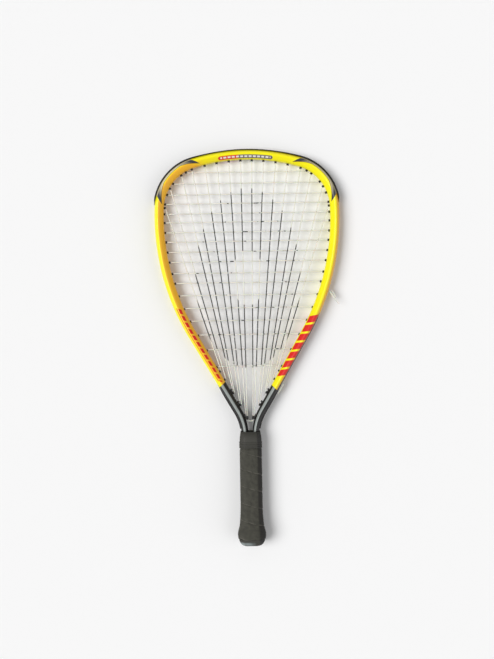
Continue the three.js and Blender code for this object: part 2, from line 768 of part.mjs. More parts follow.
// A solid through octagons: each has its height and how far it flares past the grip's core.
// The legs of the cut corners grow by a share of the flare, so that a wall keeps its thickness.
const cornerGrowthShare = 2 - Math.SQRT2;
const coreWidth = gripWidth - 2 * (wrapThickness + fitGap);
const coreDepth = gripDepth - 2 * (wrapThickness + fitGap);
const coreChamfer = gripChamfer - (wrapThickness + fitGap) * cornerGrowthShare;
function coreSolid(profile) {
  const sections = profile.map(([, flare]) => octagon(
    coreWidth + 2 * flare, coreDepth + 2 * flare, coreChamfer + cornerGrowthShare * flare));
  const rings = profile.map(([y], i) => sections[i].map(([x, z]) => new THREE.Vector3(x, y, z)));
  return ringGeometry(rings, sections[0]);
}

// Pallet: a spigot in the butt cap, the grip's core, and a thinner neck under the collar
const neckFullY = collarStartY - fitGap;
const neckStartY = neckFullY - neckTaper;
const palletProfile = [
  [palletStartY, -spigotDrop], [capEndY + fitGap, -spigotDrop], [capEndY + 2 * fitGap, 0],
  [neckStartY, 0], [neckFullY, -neckDrop], [palletEndY, -neckDrop],
];

const staples = ['upper', 'lower'].map((name, i) => ({ name, face: i === 0 ? 1 : -1 }));
const capProfile = (shares) => shares.map(([y, flare]) => [y * capEndY, flare * capFlare]);
const capBody = capProfile(capBodyShares);
const capFlareAt = (y) => {
  const next = capBody.findIndex(([to]) => to >= y);
  const [[from, flare], [to, nextFlare]] = [capBody[next - 1], capBody[next]];
  return THREE.MathUtils.mapLinear(y, from, to, flare, nextFlare);
};

// The staple's crown lies flush in the cap, its legs go through the cap into the pallet
function stapleBoxes(face, room) {
  const seat = coreDepth / 2 + capFlareAt(stapleY + stapleWire);
  const wire = stapleWire + 2 * room;
  const low = seat - stapleWire - room;
  const crown = box(stapleWidth + 2 * room, wire, stapleWire + room + cutRoom(room));
  crown.translate(0, stapleY, face * (low + (stapleWire + room + cutRoom(room)) / 2));
  const legs = [-1, 1].map((side) => {
    const leg = box(wire, wire, stapleLeg + room);
    const x = side * (stapleWidth - stapleWire) / 2;
    return leg.translate(x, stapleY, face * (seat - (stapleLeg + room) / 2));
  });
  return [crown, ...legs];
}

const cutRoom = (room) => (room > 0 ? cutOverrun : 0);

function palletHalf(face) {
  let half = solid(coreSolid(palletProfile));
  const away = box(2 * gripWidth, 3 * palletEndY, 2 * gripDepth);
  away.translate(0, 0, face * (palletSplit / 2 - gripDepth));
  const channel = (place) => {
    const [width, depth] = tubeHalf(place);
    return fromShares(tubeOutlineShares, width + fitGap, depth + fitGap);
  };
  const reach = palletTop - 4 * cutOverrun;
  const pocket = bar(tetherPocketRadius, 2 * tetherPocketDepth, 2 * grommetSides);
  pocket.translate(0, palletStartY, 0);
  half = cut(half, [away, pocket, ...stapleBoxes(face, fitGap)]);
  for (const side of [-1, 1]) {
    const ends = [side * reach, side * pathEnd].sort((a, b) => a - b);
    const leg = solid(sweepAlongFrame(...ends, channel));
    const foot = [shaftEndY + fitGap, shaftEndY - fitGap].map((y) => channel(pathEnd).map(
      ([out, up]) => new THREE.Vector3(side * (shaftSpacing / 2 + out), y, up)));
    half = half.subtract(leg.add(solid(ringGeometry(foot, channel(pathEnd)))));
  }
  return geometryOf(half);
}

function buttCap() {
  const outside = [...capProfile(capEndShares), ...capBody];
  const inside = [[capWall, -spigotDrop + fitGap], [capEndY + cutOverrun, -spigotDrop + fitGap]];
  const tether = bar(tetherHoleRadius, 2 * (capWall + cutOverrun), 2 * grommetSides);
  const staplesHeld = staples.flatMap(({ face }) => stapleBoxes(face, fitGap));
  return geometryOf(cut(solid(coreSolid(outside)), [coreSolid(inside), tether, ...staplesHeld]));
}

function capStaple(face) {
  const [crown, ...legs] = stapleBoxes(face, 0);
  return geometryOf(joined(solid(crown), legs));
}

// The wrap is one strip wound up the handle: a sleeve parted by a seam that climbs round it
const wrapCore = [
  ...capBody, [capEndY + 2 * fitGap, capBody.at(-1)[1]], [capEndY + 2 * fitGap + capTaper, 0],
  [neckStartY, 0], [neckFullY, -neckDrop], [wrapEndY, -neckDrop],
];

function gripWrap() {
  const inner = wrapCore.map(([y, flare]) => [y + fitGap, flare + fitGap]);
  const outer = inner.map(([y, flare]) => [y, flare + wrapThickness]);
  const sleeve = cut(solid(coreSolid(outer)), [coreSolid([
    [inner[0][0] - cutOverrun, inner[0][1]], ...inner, [wrapEndY + cutOverrun, inner.at(-1)[1]]])]);
  const turns = Math.ceil((wrapEndY - wrapStartY) / wrapPitch) + 2;
  const root = coreDepth / 2 - neckDrop;
  const seamSection = [[root, 0], [gripWidth, 0], [gripWidth, wrapSeamGap], [root, wrapSeamGap]];
  const rings = [];
  for (let step = 0; step <= turns * wrapStepsPerTurn; step += 1) {
    const angle = 2 * Math.PI * step / wrapStepsPerTurn;
    const y = wrapSeamStart + wrapPitch * (step / wrapStepsPerTurn - 1);
    rings.push(seamSection.map(([radius, rise]) => new THREE.Vector3(
      radius * Math.cos(angle), y + rise, radius * Math.sin(angle))));
  }
  printLeastGap(rings);
  const seam = ringGeometry(rings, seamSection);
  return geometryOf(cut(sleeve, [seam]));
}

// Across the seam, from a point on one turn's edge to the chord along the other turn's edge
function printLeastGap(rings) {
  const gaps = rings.slice(1).map((ring, i) => {
    const edge = new THREE.Line3(rings[i][0], ring[0]);
    return edge.closestPointToPoint(rings[i][3], true, new THREE.Vector3()).distanceTo(rings[i][3]);
  });
  console.log('grip wrap: least gap between turns', Math.min(...gaps).toFixed(2), 'mm');
}

const wrapOuterFlare = -neckDrop + fitGap + wrapThickness;

function finishingTape() {
  const inner = wrapOuterFlare + fitGap;
  const outer = inner + tapeThickness;
  const body = solid(coreSolid([[tapeStartY, outer], [tapeEndY, outer]]));
  return geometryOf(cut(body, [coreSolid([
    [tapeStartY - cutOverrun, inner], [tapeEndY + cutOverrun, inner]])]));
}

// The collar grips the wrap's end and narrows to the two shafts
function rubberCollar() {
  const inner = wrapOuterFlare + 2 * fitGap + tapeThickness;
  const bodyWidth = coreWidth + 2 * (inner + collarWall);
  const bodyDepth = coreDepth + 2 * (inner + collarWall);
  const bodyChamfer = coreChamfer + cornerGrowthShare * (inner + collarWall);
  const shoulderY = palletEndY - fitGap;
  const levels = [[collarStartY, 0], [shoulderY, 0], [collarEndY, 1]];
  const ring = (shrink) => ([y, share]) => {
    const width = THREE.MathUtils.lerp(bodyWidth, collarTopWidth, share) - 2 * shrink;
    const depth = THREE.MathUtils.lerp(bodyDepth, collarTopDepth, share) - 2 * shrink;
    const chamfer = THREE.MathUtils.lerp(bodyChamfer, collarTopChamfer, share);
    return octagon(width, depth, chamfer - cornerGrowthShare * shrink).map(
      ([x, z]) => new THREE.Vector3(x, y, z));
  };
  const outline = octagon(bodyWidth, bodyDepth, bodyChamfer);
  const outside = ringGeometry(levels.map(ring(0)), outline);
  const bore = [[collarStartY - cutOverrun, 0], levels[1], [collarEndY + cutOverrun, 1]];
  return geometryOf(cut(solid(outside), [ringGeometry(bore.map(ring(collarWall)), outline)]));
}

// The racket, piece by piece
addPiece('frame_tube', frameTube(), yellowLacquer);
addPiece('bumper_guard', bumperGuard(), blackNylon);
for (const [name, side] of [['left', -1], ['right', 1]]) {
  addPiece(`side_grommet_strip_${name}`, sideStrip(side), blackNylon);
  addPiece(`throat_strip_${name}`, throatStrip(side), blackNylon);
  throatGrommets.forEach((grommet, i) => {
    addPiece(`throat_grommet_${name}_${i + 1}`, throatGrommet(grommet, side), blackNylon);
  });
}
addPiece('main_string', mainString(), creamNylon);
addPiece('upper_cross_string', upperCrossString(), creamNylon);
addPiece('lower_cross_string', lowerCrossString(), creamNylon);
addPiece('handle_pallet_upper', palletHalf(1), greyFoam);
addPiece('handle_pallet_lower', palletHalf(-1), greyFoam);
addPiece('butt_cap', buttCap(), darkRubber);
for (const { name, face } of staples) addPiece(`butt_cap_staple_${name}`, capStaple(face), stapleSteel);
addPiece('grip_wrap', gripWrap(), gripLeather);
addPiece('finishing_tape', finishingTape(), tapeVinyl);
addPiece('rubber_collar', rubberCollar(), darkRubber);

const whole = new THREE.Group();
whole.add(racket);

export default whole;
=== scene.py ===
import math

import bmesh
import bpy
import numpy as np
from mathutils import Matrix, Vector


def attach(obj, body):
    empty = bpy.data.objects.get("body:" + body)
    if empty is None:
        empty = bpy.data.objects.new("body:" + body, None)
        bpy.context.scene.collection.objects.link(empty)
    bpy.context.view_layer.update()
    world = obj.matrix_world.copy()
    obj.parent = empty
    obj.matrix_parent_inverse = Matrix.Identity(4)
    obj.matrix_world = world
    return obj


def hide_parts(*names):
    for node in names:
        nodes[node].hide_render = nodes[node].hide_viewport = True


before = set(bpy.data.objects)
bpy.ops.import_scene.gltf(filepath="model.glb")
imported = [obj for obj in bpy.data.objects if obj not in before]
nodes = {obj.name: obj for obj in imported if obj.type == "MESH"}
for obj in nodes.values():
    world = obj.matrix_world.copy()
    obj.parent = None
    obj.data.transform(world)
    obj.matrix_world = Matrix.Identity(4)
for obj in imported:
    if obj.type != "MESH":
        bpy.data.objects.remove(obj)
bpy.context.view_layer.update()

# Frame tube.
# One hollow tube of graphite cloth and epoxy, moulded in one piece from the foot of one shaft round
# the head to the other. An outer groove takes the strings, and the tube is sprayed yellow over
# black, striped in red, and lacquered.

mm = 0.001
# Half the section's width and depth at the head, its inner crest, and the groove, all in mm
half_wide, half_deep, inner_crest = 6.5, 10.5, -6.24
groove_floor, groove_half, groove_end = 2.1, 3.6, 501
groove_depth = half_wide - groove_floor
tube_end = 650.8
crown_y = 271.8
# Length in mm of each stretch of the centre line from the crown to the butt, and its radius
stretches = ((76.487, 264), (83.527, 67.5), (188.95, 332.055), (124.676, 0), (35.727, -68),
             (141.46, 0))
# Distances from the crown between which the tube keeps or changes its section
taper = (0, 349, 473.6, 504.1, 512.8)


def centre_line(distance):
    """Points and outward directions along the tube; distances on the left half are negative."""
    side = np.where(distance < 0, -1.0, 1.0)
    left = np.abs(distance)
    x, y, heading = np.zeros_like(left), np.full_like(left, crown_y), np.zeros_like(left)
    for length, radius in stretches:
        part = np.clip(left, 0, length)
        if radius:
            turned = heading + part / radius
            x = x + (np.sin(turned) - np.sin(heading)) * radius
            y = y + (np.cos(turned) - np.cos(heading)) * radius
            heading = turned
        else:
            x = x + part * np.cos(heading)
            y = y - part * np.sin(heading)
        left = left - part
    return side * x, y, side * np.sin(heading), np.cos(heading)


def half_width(distance):
    return np.interp(np.abs(distance), taper, (half_wide, half_wide, 5.3, 4.9, 4))


def half_depth(distance):
    return np.interp(np.abs(distance), taper, (half_deep, half_deep, 8.7, 8, 6.6))


def lay_along_frame(piece, is_tube=False):
    """Bends a piece modelled straight in millimetres (along, outwards, up) round the frame, and
    keeps the straight places as an attribute, so that paint and mould marks can follow them."""
    mesh = piece.data
    straight = np.empty(len(mesh.vertices) * 3, dtype=np.float32)
    mesh.vertices.foreach_get("co", straight)
    along, out, up = straight.reshape(-1, 3).T.astype(float)
    width, depth = half_width(along), half_depth(along)
    laid_out = out - half_wide + width
    if is_tube:
        narrowing = (2 * width - groove_depth) / (2 * half_wide - groove_depth)
        inner = (out + half_wide) * narrowing - width
        laid_out = np.where(out < groove_floor - 0.1, inner, laid_out)
        flattening = (depth - groove_half) / (half_deep - groove_half)
        flank = groove_half + (np.abs(up) - groove_half) * flattening
        up = np.where(np.abs(up) > groove_half + 0.1, np.sign(up) * flank, up)
    x, y, outward_x, outward_y = centre_line(along)
    laid = np.stack((x + outward_x * laid_out, y + outward_y * laid_out, up), axis=1) * mm
    mesh.vertices.foreach_set("co", laid.astype(np.float32).ravel())
    mesh.attributes.new("straight", "FLOAT_VECTOR", "POINT").data.foreach_set("vector", straight)
    mesh.update()


def open_for_editing(name):
    """Names the primitive just added and goes into edit mode on it."""
    piece = bpy.context.object
    piece.name = piece.data.name = name
    bpy.ops.object.mode_set(mode="EDIT")
    return piece


def pick(piece, kind, test):
    """Selects, in edit mode, the edges or faces whose middle and direction pass a test, or the
    vertices whose place does."""
    bpy.ops.mesh.select_mode(type={"edges": "EDGE", "faces": "FACE", "verts": "VERT"}[kind])
    bpy.ops.mesh.select_all(action="DESELECT")
    shape = bmesh.from_edit_mesh(piece.data)
    for part in getattr(shape, kind):
        if kind == "edges":
            a, b = (vertex.co for vertex in part.verts)
            part.select_set(test((a + b) / 2, (b - a).normalized()))
        elif kind == "faces":
            part.select_set(test(part.calc_center_median(), part.normal))
        else:
            part.select_set(test(part.co))
    bmesh.update_edit_mesh(piece.data)


def close_editing(piece, sharp=35):
    """Leaves edit mode with the faces turned outwards and only the sharp edges kept sharp."""
    bpy.ops.mesh.select_all(action="SELECT")
    bpy.ops.mesh.normals_make_consistent(inside=False)
    bpy.ops.object.mode_set(mode="OBJECT")
    bpy.ops.object.shade_smooth_by_angle(angle=math.radians(sharp))
    piece.select_set(False)


def along_x(middle, direction):
    return abs(direction.x) > 0.99


def in_groove(middle, facing):
    return facing.y > 0.9 and abs(middle.z) < groove_half and abs(middle.x) < groove_end


bpy.ops.object.select_all(action="DESELECT")
bpy.ops.mesh.primitive_cube_add(size=1)
tube = open_for_editing("painted_frame")
bpy.ops.transform.resize(value=(2 * tube_end, half_wide - inner_crest, 2 * half_deep))
bpy.ops.transform.translate(value=(0, (half_wide + inner_crest) / 2, 0))
# The box is planed down to the section: a flat crest, a short outer bevel and a long inner one
bevels = (((half_wide, 4.41), (5.85, 7.35)), ((5.85, 7.35), (2.73, half_deep)),
          ((-0.26, half_deep), (inner_crest, 3.78)))
for (out, up), (next_out, next_up) in bevels:
    for face in (1, -1):
        bpy.ops.mesh.select_all(action="SELECT")
        bpy.ops.mesh.bisect(plane_co=(0, out, face * up), use_fill=True, clear_outer=True,
                            plane_no=(0, next_up - up, face * (out - next_out)))
pick(tube, "edges", lambda middle, way: along_x(middle, way) and abs(middle.z) > 5)
bpy.ops.mesh.bevel(offset=1.45, segments=3, affect="EDGES")
pick(tube, "edges",
     lambda middle, way: along_x(middle, way) and middle.y < -6 and abs(middle.z) < 5)
bpy.ops.mesh.bevel(offset=2.6, segments=4, affect="EDGES")
for face in (1, -1):
    bpy.ops.mesh.select_all(action="SELECT")
    bpy.ops.mesh.bisect(plane_co=(0, 0, face * groove_half), plane_no=(0, 0, 1))
# Rings every 3.25 mm let it bend, and the groove is pressed in as far as the collar
for cuts in (19, 19):
    pick(tube, "edges", along_x)
    bpy.ops.mesh.subdivide(number_cuts=cuts)
pick(tube, "faces", in_groove)
bpy.ops.mesh.extrude_region_move(TRANSFORM_OT_translate={"value": (0, -groove_depth, 0)})
close_editing(tube)
lay_along_frame(tube, is_tube=True)


def srgb(code):
    """A colour written as sRGB hex, in the linear values that shaders take."""
    parts = [int(code[i:i + 2], 16) / 255 for i in (1, 3, 5)]
    return (*(((p + 0.055) / 1.055) ** 2.4 if p > 0.04045 else p / 12.92 for p in parts), 1)


def finish_named(name, **settings):
    """A new material; its surface settings are given by the names on the shader."""
    finish = bpy.data.materials.new(name)
    finish.use_nodes = True
    surface = finish.node_tree.nodes["Principled BSDF"]
    for place, value in settings.items():
        surface.inputs[place.replace("_", " ")].default_value = value
    return finish, surface


def add(finish, kind, inputs, output=0, **settings):
    """Adds a node with its settings, values and links, and gives back one of its outputs."""
    node = finish.node_tree.nodes.new(kind)
    for name, value in settings.items():
        setattr(node, name, value)
    for place, value in inputs.items():
        if isinstance(value, bpy.types.NodeSocket):
            finish.node_tree.links.new(value, node.inputs[place])
        else:
            node.inputs[place].default_value = value
    return node.outputs[output]


def feed(finish, surface, **sources):
    """Links nodes to the shader; each socket is given by its name."""
    for place, source in sources.items():
        finish.node_tree.links.new(source, surface.inputs[place.replace("_", " ")])


# Sprayed polyester lacquer under a clear coat: lemon yellow, with orange as painted shade on the
# side of each flank away from the light on the left and wherever the tube turns to the right
lacquer, surface = finish_named("sprayed_lacquer", Roughness=0.36, Specular_IOR_Level=0.2,
                                Coat_Weight=0.2, Coat_Roughness=0.12)
red, black = srgb("#e2231c"), srgb("#0e0d0c")
# The pitch in mm of the bars, the dashes, the crown's ticks and the twill
bar_pitch, dash_pitch, tick_pitch, twill_pitch = 14.4, 10.5, 6.0, 1.9
place = add(lacquer, "ShaderNodeAttribute", {}, 1, attribute_name="straight")
from_top, out, above = (add(lacquer, "ShaderNodeSeparateXYZ", {0: place}, axis)
                        for axis in range(3))
along = add(lacquer, "ShaderNodeMath", {0: from_top}, operation="ABSOLUTE")
up = add(lacquer, "ShaderNodeMath", {0: above}, operation="ABSOLUTE")
right = add(lacquer, "ShaderNodeMath", {0: from_top, 1: 0.0}, operation="GREATER_THAN")
# Stencil lines that slant across the tube: their shares of along and out, and a shift in mm
flat = add(lacquer, "ShaderNodeCombineXYZ", {0: along, 1: out, 2: 1.0})
from_crown, to_side, rim_rise, rim_fall, rim_level, slant, weft, yellow_end = (
    add(lacquer, "ShaderNodeVectorMath", {0: flat, 1: shares}, "Value", operation="DOT_PRODUCT")
    for shares in ((1, -1.255, -71.5), (-1, -1.083, 150.95), (-0.2214, 1, 18.43),
                   (0.223, 1, -30.48), (0, 1, -2.4), (1, 0.7, 0), (1, 1.4, 0), (1, -0.2, -430)))


def sprayed(finish, under, over, *edges):
    """One coat over another, through a stencil. Each edge of the stencil is a measure, with the
    value at which it is shut and the value at which it is open."""
    gap = 1.0
    for measure, shut, opened in edges:
        edge = add(finish, "ShaderNodeMapRange", {0: measure, 1: shut, 2: opened})
        gap = add(finish, "ShaderNodeMath", {0: gap, 1: edge}, operation="MULTIPLY")
    return add(finish, "ShaderNodeMix", {0: gap, 6: under, 7: over}, 2, data_type="RGBA")


facing = add(lacquer, "ShaderNodeTexCoord", {}, 1)
turned_right = add(lacquer, "ShaderNodeSeparateXYZ", {0: facing}, 0)
# -1 down the left flank, 0 along the crown and 1 down the right flank
side = add(lacquer, "ShaderNodeMapRange", {0: from_top, 1: -95, 2: -60, 3: -1.0, 4: 0.0})
side = add(lacquer, "ShaderNodeMapRange", {0: from_top, 1: 60, 2: 95, 3: side, 4: 1.0})
# Painted shade: orange on the side of each flank away from the light on the left, and on faces
# turned to the right
past_ridge = add(lacquer, "ShaderNodeMath", {0: out, 1: 4.5}, operation="SUBTRACT")
lean = add(lacquer, "ShaderNodeMath", {0: side, 1: past_ridge}, operation="MULTIPLY")
painted_shade = add(lacquer, "ShaderNodeMath", {0: turned_right, 1: 7.0, 2: lean}, operation="MULTIPLY_ADD")
coat = sprayed(lacquer, srgb("#fff40f"), srgb("#ffbe2c"), (painted_shade, 0.3, 5.5))
# Corners: a silver band outside a thin brown line, dark towards the yellow panels at its ends
past_rim = add(lacquer, "ShaderNodeMath", {0: rim_rise, 1: rim_fall}, operation="MAXIMUM")
past_rim = add(lacquer, "ShaderNodeMath", {0: past_rim, 1: rim_level}, operation="MAXIMUM")
corner = ((from_crown, -0.2, 0.2), (to_side, -0.2, 0.2))
crown_end = add(lacquer, "ShaderNodeMapRange", {0: from_crown, 1: 24, 2: 6})
side_end = add(lacquer, "ShaderNodeMapRange", {0: to_side, 1: 20, 2: 5})
dark_ends = add(lacquer, "ShaderNodeMath", {0: crown_end, 1: side_end}, operation="MAXIMUM")
silver = sprayed(lacquer, srgb("#efe3b9"), srgb("#33363c"), (dark_ends, 0, 1), (out, 5.4, 3.6))
coat = sprayed(lacquer, coat, silver, *corner, (past_rim, -0.15, 0.15))
coat = sprayed(lacquer, coat, srgb("#7d5c12"), *corner, (past_rim, -0.3, -0.05),
               (past_rim, 0.7, 0.45))
# Right side: slanted red bars; left side: a row of red dashes beside a thin red line
bar = add(lacquer, "ShaderNodeMath", {0: slant, 1: bar_pitch}, operation="MODULO")
coat = sprayed(lacquer, coat, red, (right, 0, 1), (slant, 316.8, 317.2), (slant, 417.2, 416.8),
               (bar, 3.2, 3.5), (up, 4.6, 5.0), (out, 5.2, 4.9))
dash = add(lacquer, "ShaderNodeMath", {0: slant, 1: dash_pitch}, operation="MODULO")
left_zone = ((right, 1, 0), (slant, 306.8, 307.2), (slant, 425.2, 424.8))
coat = sprayed(lacquer, coat, red, *left_zone, (dash, 2.6, 2.9), (out, -2.9, -2.6),
               (out, 1.1, 0.8))
coat = sprayed(lacquer, coat, red, *left_zone, (out, 1.8, 2.1), (out, 3.2, 2.9))
# Crown: a capsule in red and grey with a row of plain white dashes
from_middle = add(lacquer, "ShaderNodeMath", {0: from_top, 1: 0.9}, operation="ADD")
from_middle = add(lacquer, "ShaderNodeMath", {0: from_middle}, operation="ABSOLUTE")
aside = add(lacquer, "ShaderNodeMath", {0: out, 1: 3.1}, operation="ADD")
squared = add(lacquer, "ShaderNodeMath", {0: aside, 1: 2.0}, operation="POWER")
rounded = add(lacquer, "ShaderNodeMath", {0: squared, 1: 0.45, 2: from_middle},
              operation="MULTIPLY_ADD")
capsule = ((rounded, 39.2, 38.8), (squared, 5.2, 4.2))
coat = sprayed(lacquer, coat, srgb("#6f6468"), *capsule)
coat = sprayed(lacquer, coat, srgb("#e0281f"), *capsule, (from_top, -10.8, -11.2))
tick = add(lacquer, "ShaderNodeMath", {0: from_top, 1: 100}, operation="ADD")
tick = add(lacquer, "ShaderNodeMath", {0: tick, 1: tick_pitch}, operation="MODULO")
coat = sprayed(lacquer, coat, srgb("#efece6"), (rounded, 36.2, 35.8), (tick, 1.6, 1.9),
               (squared, 1.3, 0.8))
# Throat: bare black, with a grey band in which the graphite's twill shows, moved to the left of
# each shaft as a painted highlight, and a black right edge
bare_from = add(lacquer, "ShaderNodeMath", {0: right, 1: -6.5, 2: yellow_end},
                operation="MULTIPLY_ADD")
coat = sprayed(lacquer, coat, black, (right, 0, 1), (out, 4.8, 5.3), (along, 312, 322))
coat = sprayed(lacquer, coat, black, (bare_from, -0.3, 0.3))
twill = add(lacquer, "ShaderNodeMath", {0: weft, 1: twill_pitch}, operation="MODULO")
grey = sprayed(lacquer, srgb("#a9afab"), srgb("#7d8381"), (twill, 0.8, 1.1))
# Painted highlight: the grey band is paint, but it is moved to the left of each shaft, onto the
# faces that the light from the left falls on
band = add(lacquer, "ShaderNodeMath", {0: right, 1: 2.2, 2: out}, operation="MULTIPLY_ADD")
coat = sprayed(lacquer, coat, grey, (bare_from, -0.3, 0.3), (band, -1.2, -0.7), (band, 3.8, 3.3))
# Orange peel of sprayed lacquer, drawn at 2 mm so that it shows
peel = add(lacquer, "ShaderNodeTexNoise", {"Vector": place, "Scale": 0.5, "Detail": 2.0})
relief = add(lacquer, "ShaderNodeBump", {"Height": peel, "Strength": 0.05, "Distance": 0.0004})
feed(lacquer, surface, Base_Color=coat, Normal=relief)
tube.data.materials.append(lacquer)
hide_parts("frame_tube")
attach(tube, "root")

# Bumper guard and grommet strips.
# Black nylon, extruded as a channel that fills the groove and then drilled. Each hole has a
# barrel that reaches through the tube, so that no string touches the graphite.

# How far the barrels stand out inside the head, in mm: under the guard, beside the upper crosses
# and beside the lower ones. A string bends 0.9 mm further in, and a strip ends 2.85 mm past a hole
guard_nub, side_nub, stand_out = 2.3, 1.9, 0.9
mouth_gap, past_hole = 0.9, 2.85
barrel_length = 6.4
# The strips' section in mm, as modelled: the top of the lips, the underside of the guard's
# flange, the foot and floor of the channel, and half its width inside and outside
lip_top, flange_foot, strip_foot, channel_floor = 8.4, 6.8, 2.4, 3.1
channel_half, strip_half, flange_half = 2.6, 3.3, 6.4
ring_pitch = 3.2
collar_top, strip_foot_end = 504.1, 499.5
# The crosses, as shares of the strung height below the crown
cross_shares = (
    0.0615, 0.1015, 0.141, 0.1743, 0.21, 0.2415, 0.2776, 0.3117, 0.3484,
    0.3848, 0.426, 0.4612, 0.5063, 0.5527, 0.5985, 0.6493, 0.7032, 0.7637)
throat_y = -118.7
cross_heights = [crown_y - share * (crown_y - throat_y) for share in cross_shares]
last_upper = 12


def beside(distance, out, up=0.0):
    """A point in mm beside the tube's centre line: outwards in the string plane, and up."""
    x, y, outward_x, outward_y = (float(v) for v in centre_line(np.array(float(distance))))
    return Vector((x + out * outward_x, y + out * outward_y, up))


def mouth(distance):
    """Where a string leaves its hole on the inside of the head."""
    return beside(distance, -(half_width(distance) + stand_out + mouth_gap))


def distance_where(height_at, height):
    """The distance down the right half at which a point has fallen to a height."""
    low, high = 0.0, tube_end
    for _ in range(40):
        middle = (low + high) / 2
        low, high = (middle, high) if height_at(middle).y > height else (low, middle)
    return low


cross_places = [distance_where(mouth, height) for height in cross_heights]
main_places = [share * cross_places[0] for share in (0.09, 0.277, 0.472, 0.668, 0.885)]
main_places += [cross_places[above - 1] + share * (cross_places[above] - cross_places[above - 1])
                for above, share in ((1, 0.32), (2, 0.46), (4, 0.4))]
grommet_places = [collar_top + share * (cross_places[-1] - collar_top)
                  for share in (0.1964, 0.3948, 0.5932, 0.7917, 0.9266)]
flange_end = cross_places[3] + past_hole
bumper_end = main_places[-1] + past_hole
strip_end = (cross_places[-1] + grommet_places[-1]) / 2

bpy.ops.object.select_all(action="DESELECT")
bpy.ops.mesh.primitive_cylinder_add(vertices=20, radius=1.65, depth=barrel_length)
barrel = open_for_editing("barrel")
pick(barrel, "faces", lambda middle, facing: facing.z < -0.9)
bpy.ops.mesh.inset(thickness=0.1)
bpy.ops.transform.translate(value=(0, 0, -0.12))
bpy.ops.mesh.inset(thickness=0.35)
bpy.ops.mesh.extrude_region_move(TRANSFORM_OT_translate={"value": (0, 0, 2.5)})
close_editing(barrel)


def with_barrels(piece, places, nub):
    """Joins a copy of the barrel, turned into the frame and set through it, at each hole."""
    for distance in places:
        inner = beside(distance, -(half_width(distance) + nub))
        outwards = (beside(distance, 0) - beside(distance, -1)).normalized()
        turn = outwards.to_track_quat("Z", "Y").to_matrix().to_4x4()
        copy = barrel.copy()
        copy.data = barrel.data.copy()
        centre = (inner + outwards * barrel_length / 2) * mm
        copy.data.transform(Matrix.Translation(centre) @ turn @ Matrix.Scale(mm, 4))
        bpy.context.collection.objects.link(copy)
        copy.select_set(True)
    piece.select_set(True)
    bpy.context.view_layer.objects.active = piece
    bpy.ops.object.join()
    piece.select_set(False)


def channel_strip(name, start, end, top_at, flange=None):
    """A straight strip with a channel along it, its lips bevelled, cut to length and laid."""
    bpy.ops.object.select_all(action="DESELECT")
    bpy.ops.mesh.primitive_cube_add(size=1)
    strip = open_for_editing(name)

    def on_lips(middle, way):
        return along_x(middle, way) and middle.y > lip_top - 0.1

    reach = flange or strip_half
    low = flange_foot if flange else strip_foot
    bpy.ops.transform.resize(value=(end - start, lip_top - low, 2 * reach))
    bpy.ops.transform.translate(value=((start + end) / 2, (lip_top + low) / 2, 0))
    for half in (channel_half, strip_half) if flange else (channel_half,):
        for height in (half, -half):
            bpy.ops.mesh.select_all(action="SELECT")
            bpy.ops.mesh.bisect(plane_co=(0, 0, height), plane_no=(0, 0, 1))
    if flange:
        pick(strip, "faces", lambda middle, facing: facing.y < -0.9 and abs(middle.z) < strip_half)
        bpy.ops.mesh.extrude_region_move(TRANSFORM_OT_translate={"value": (0, strip_foot - low, 0)})
    pick(strip, "faces", lambda middle, facing: facing.y > 0.9 and abs(middle.z) < channel_half)
    bpy.ops.mesh.extrude_region_move(
        TRANSFORM_OT_translate={"value": (0, channel_floor - lip_top, 0)})
    pick(strip, "edges",
         lambda middle, way: on_lips(middle, way) and abs(middle.z) > strip_half - 0.1)
    bpy.ops.mesh.bevel(offset=0.8 if flange else 0.2, segments=3, affect="EDGES")
    pick(strip, "edges",
         lambda middle, way: on_lips(middle, way) and abs(middle.z) < channel_half + 0.1)
    bpy.ops.mesh.bevel(offset=0.15, segments=2, affect="EDGES")
    bpy.ops.mesh.select_all(action="SELECT")
    bpy.ops.mesh.remove_doubles(threshold=0.001)
    bpy.ops.mesh.dissolve_degenerate(threshold=0.001)
    steps = max(2, round((end - start) / ring_pitch))
    first = min(99, round(math.sqrt(steps)))
    for cuts in (first, round(steps / first)):
        pick(strip, "edges", along_x)
        bpy.ops.mesh.subdivide(number_cuts=max(1, cuts - 1))
    close_editing(strip)
    for vertex in strip.data.vertices:
        x, y, z = vertex.co
        top, width = top_at(abs(x))
        if y > lip_top - 0.5:
            y = y - lip_top + half_wide + top
        elif y > flange_foot + 0.1 or (y > 5 and not flange):
            thinned = (half_wide + top - flange_foot) / (lip_top - flange_foot)
            y = flange_foot + (y - flange_foot) * thinned
        if abs(z) > strip_half + 0.1:
            z = math.copysign(strip_half + (abs(z) - strip_half) * width, z)
        vertex.co = (x, y, z)
    lay_along_frame(strip)
    return strip


def smooth_rise(value, start, end):
    share = min(1, max(0, (value - start) / (end - start)))
    return share * share * (3 - 2 * share)


def bumper_top(along):
    """How far the guard's top stands past the tube's crest, and the share of its width there."""
    rise = smooth_rise(along, main_places[2], cross_places[0])
    tip = smooth_rise(along, flange_end - 9, flange_end)
    return (1.1 + 0.8 * rise) * (1 - 0.7 * tip), 1 - 0.75 * tip


def strip_top(along):
    return -0.3 + 1.7 * smooth_rise(along, grommet_places[-1], grommet_places[2] + 8), 1


def dress(piece, finish):
    """Gives a piece one material, in place of any that it has."""
    piece.data.materials.clear()
    piece.data.materials.append(finish)


# Moulded black nylon: satin, with a fine grain that breaks up its shine
nylon, surface = finish_named("moulded_nylon", Base_Color=srgb("#171413"), Roughness=0.42,
                              Specular_IOR_Level=0.3)
where = add(nylon, "ShaderNodeTexCoord", {}, 3)
grain = add(nylon, "ShaderNodeTexNoise", {"Vector": where, "Scale": 1400.0, "Detail": 2.0})
satin = add(nylon, "ShaderNodeMapRange", {0: grain, 3: 0.34, 4: 0.56})
relief = add(nylon, "ShaderNodeBump", {"Height": grain, "Strength": 0.15, "Distance": 0.0002})
feed(nylon, surface, Roughness=satin, Normal=relief)

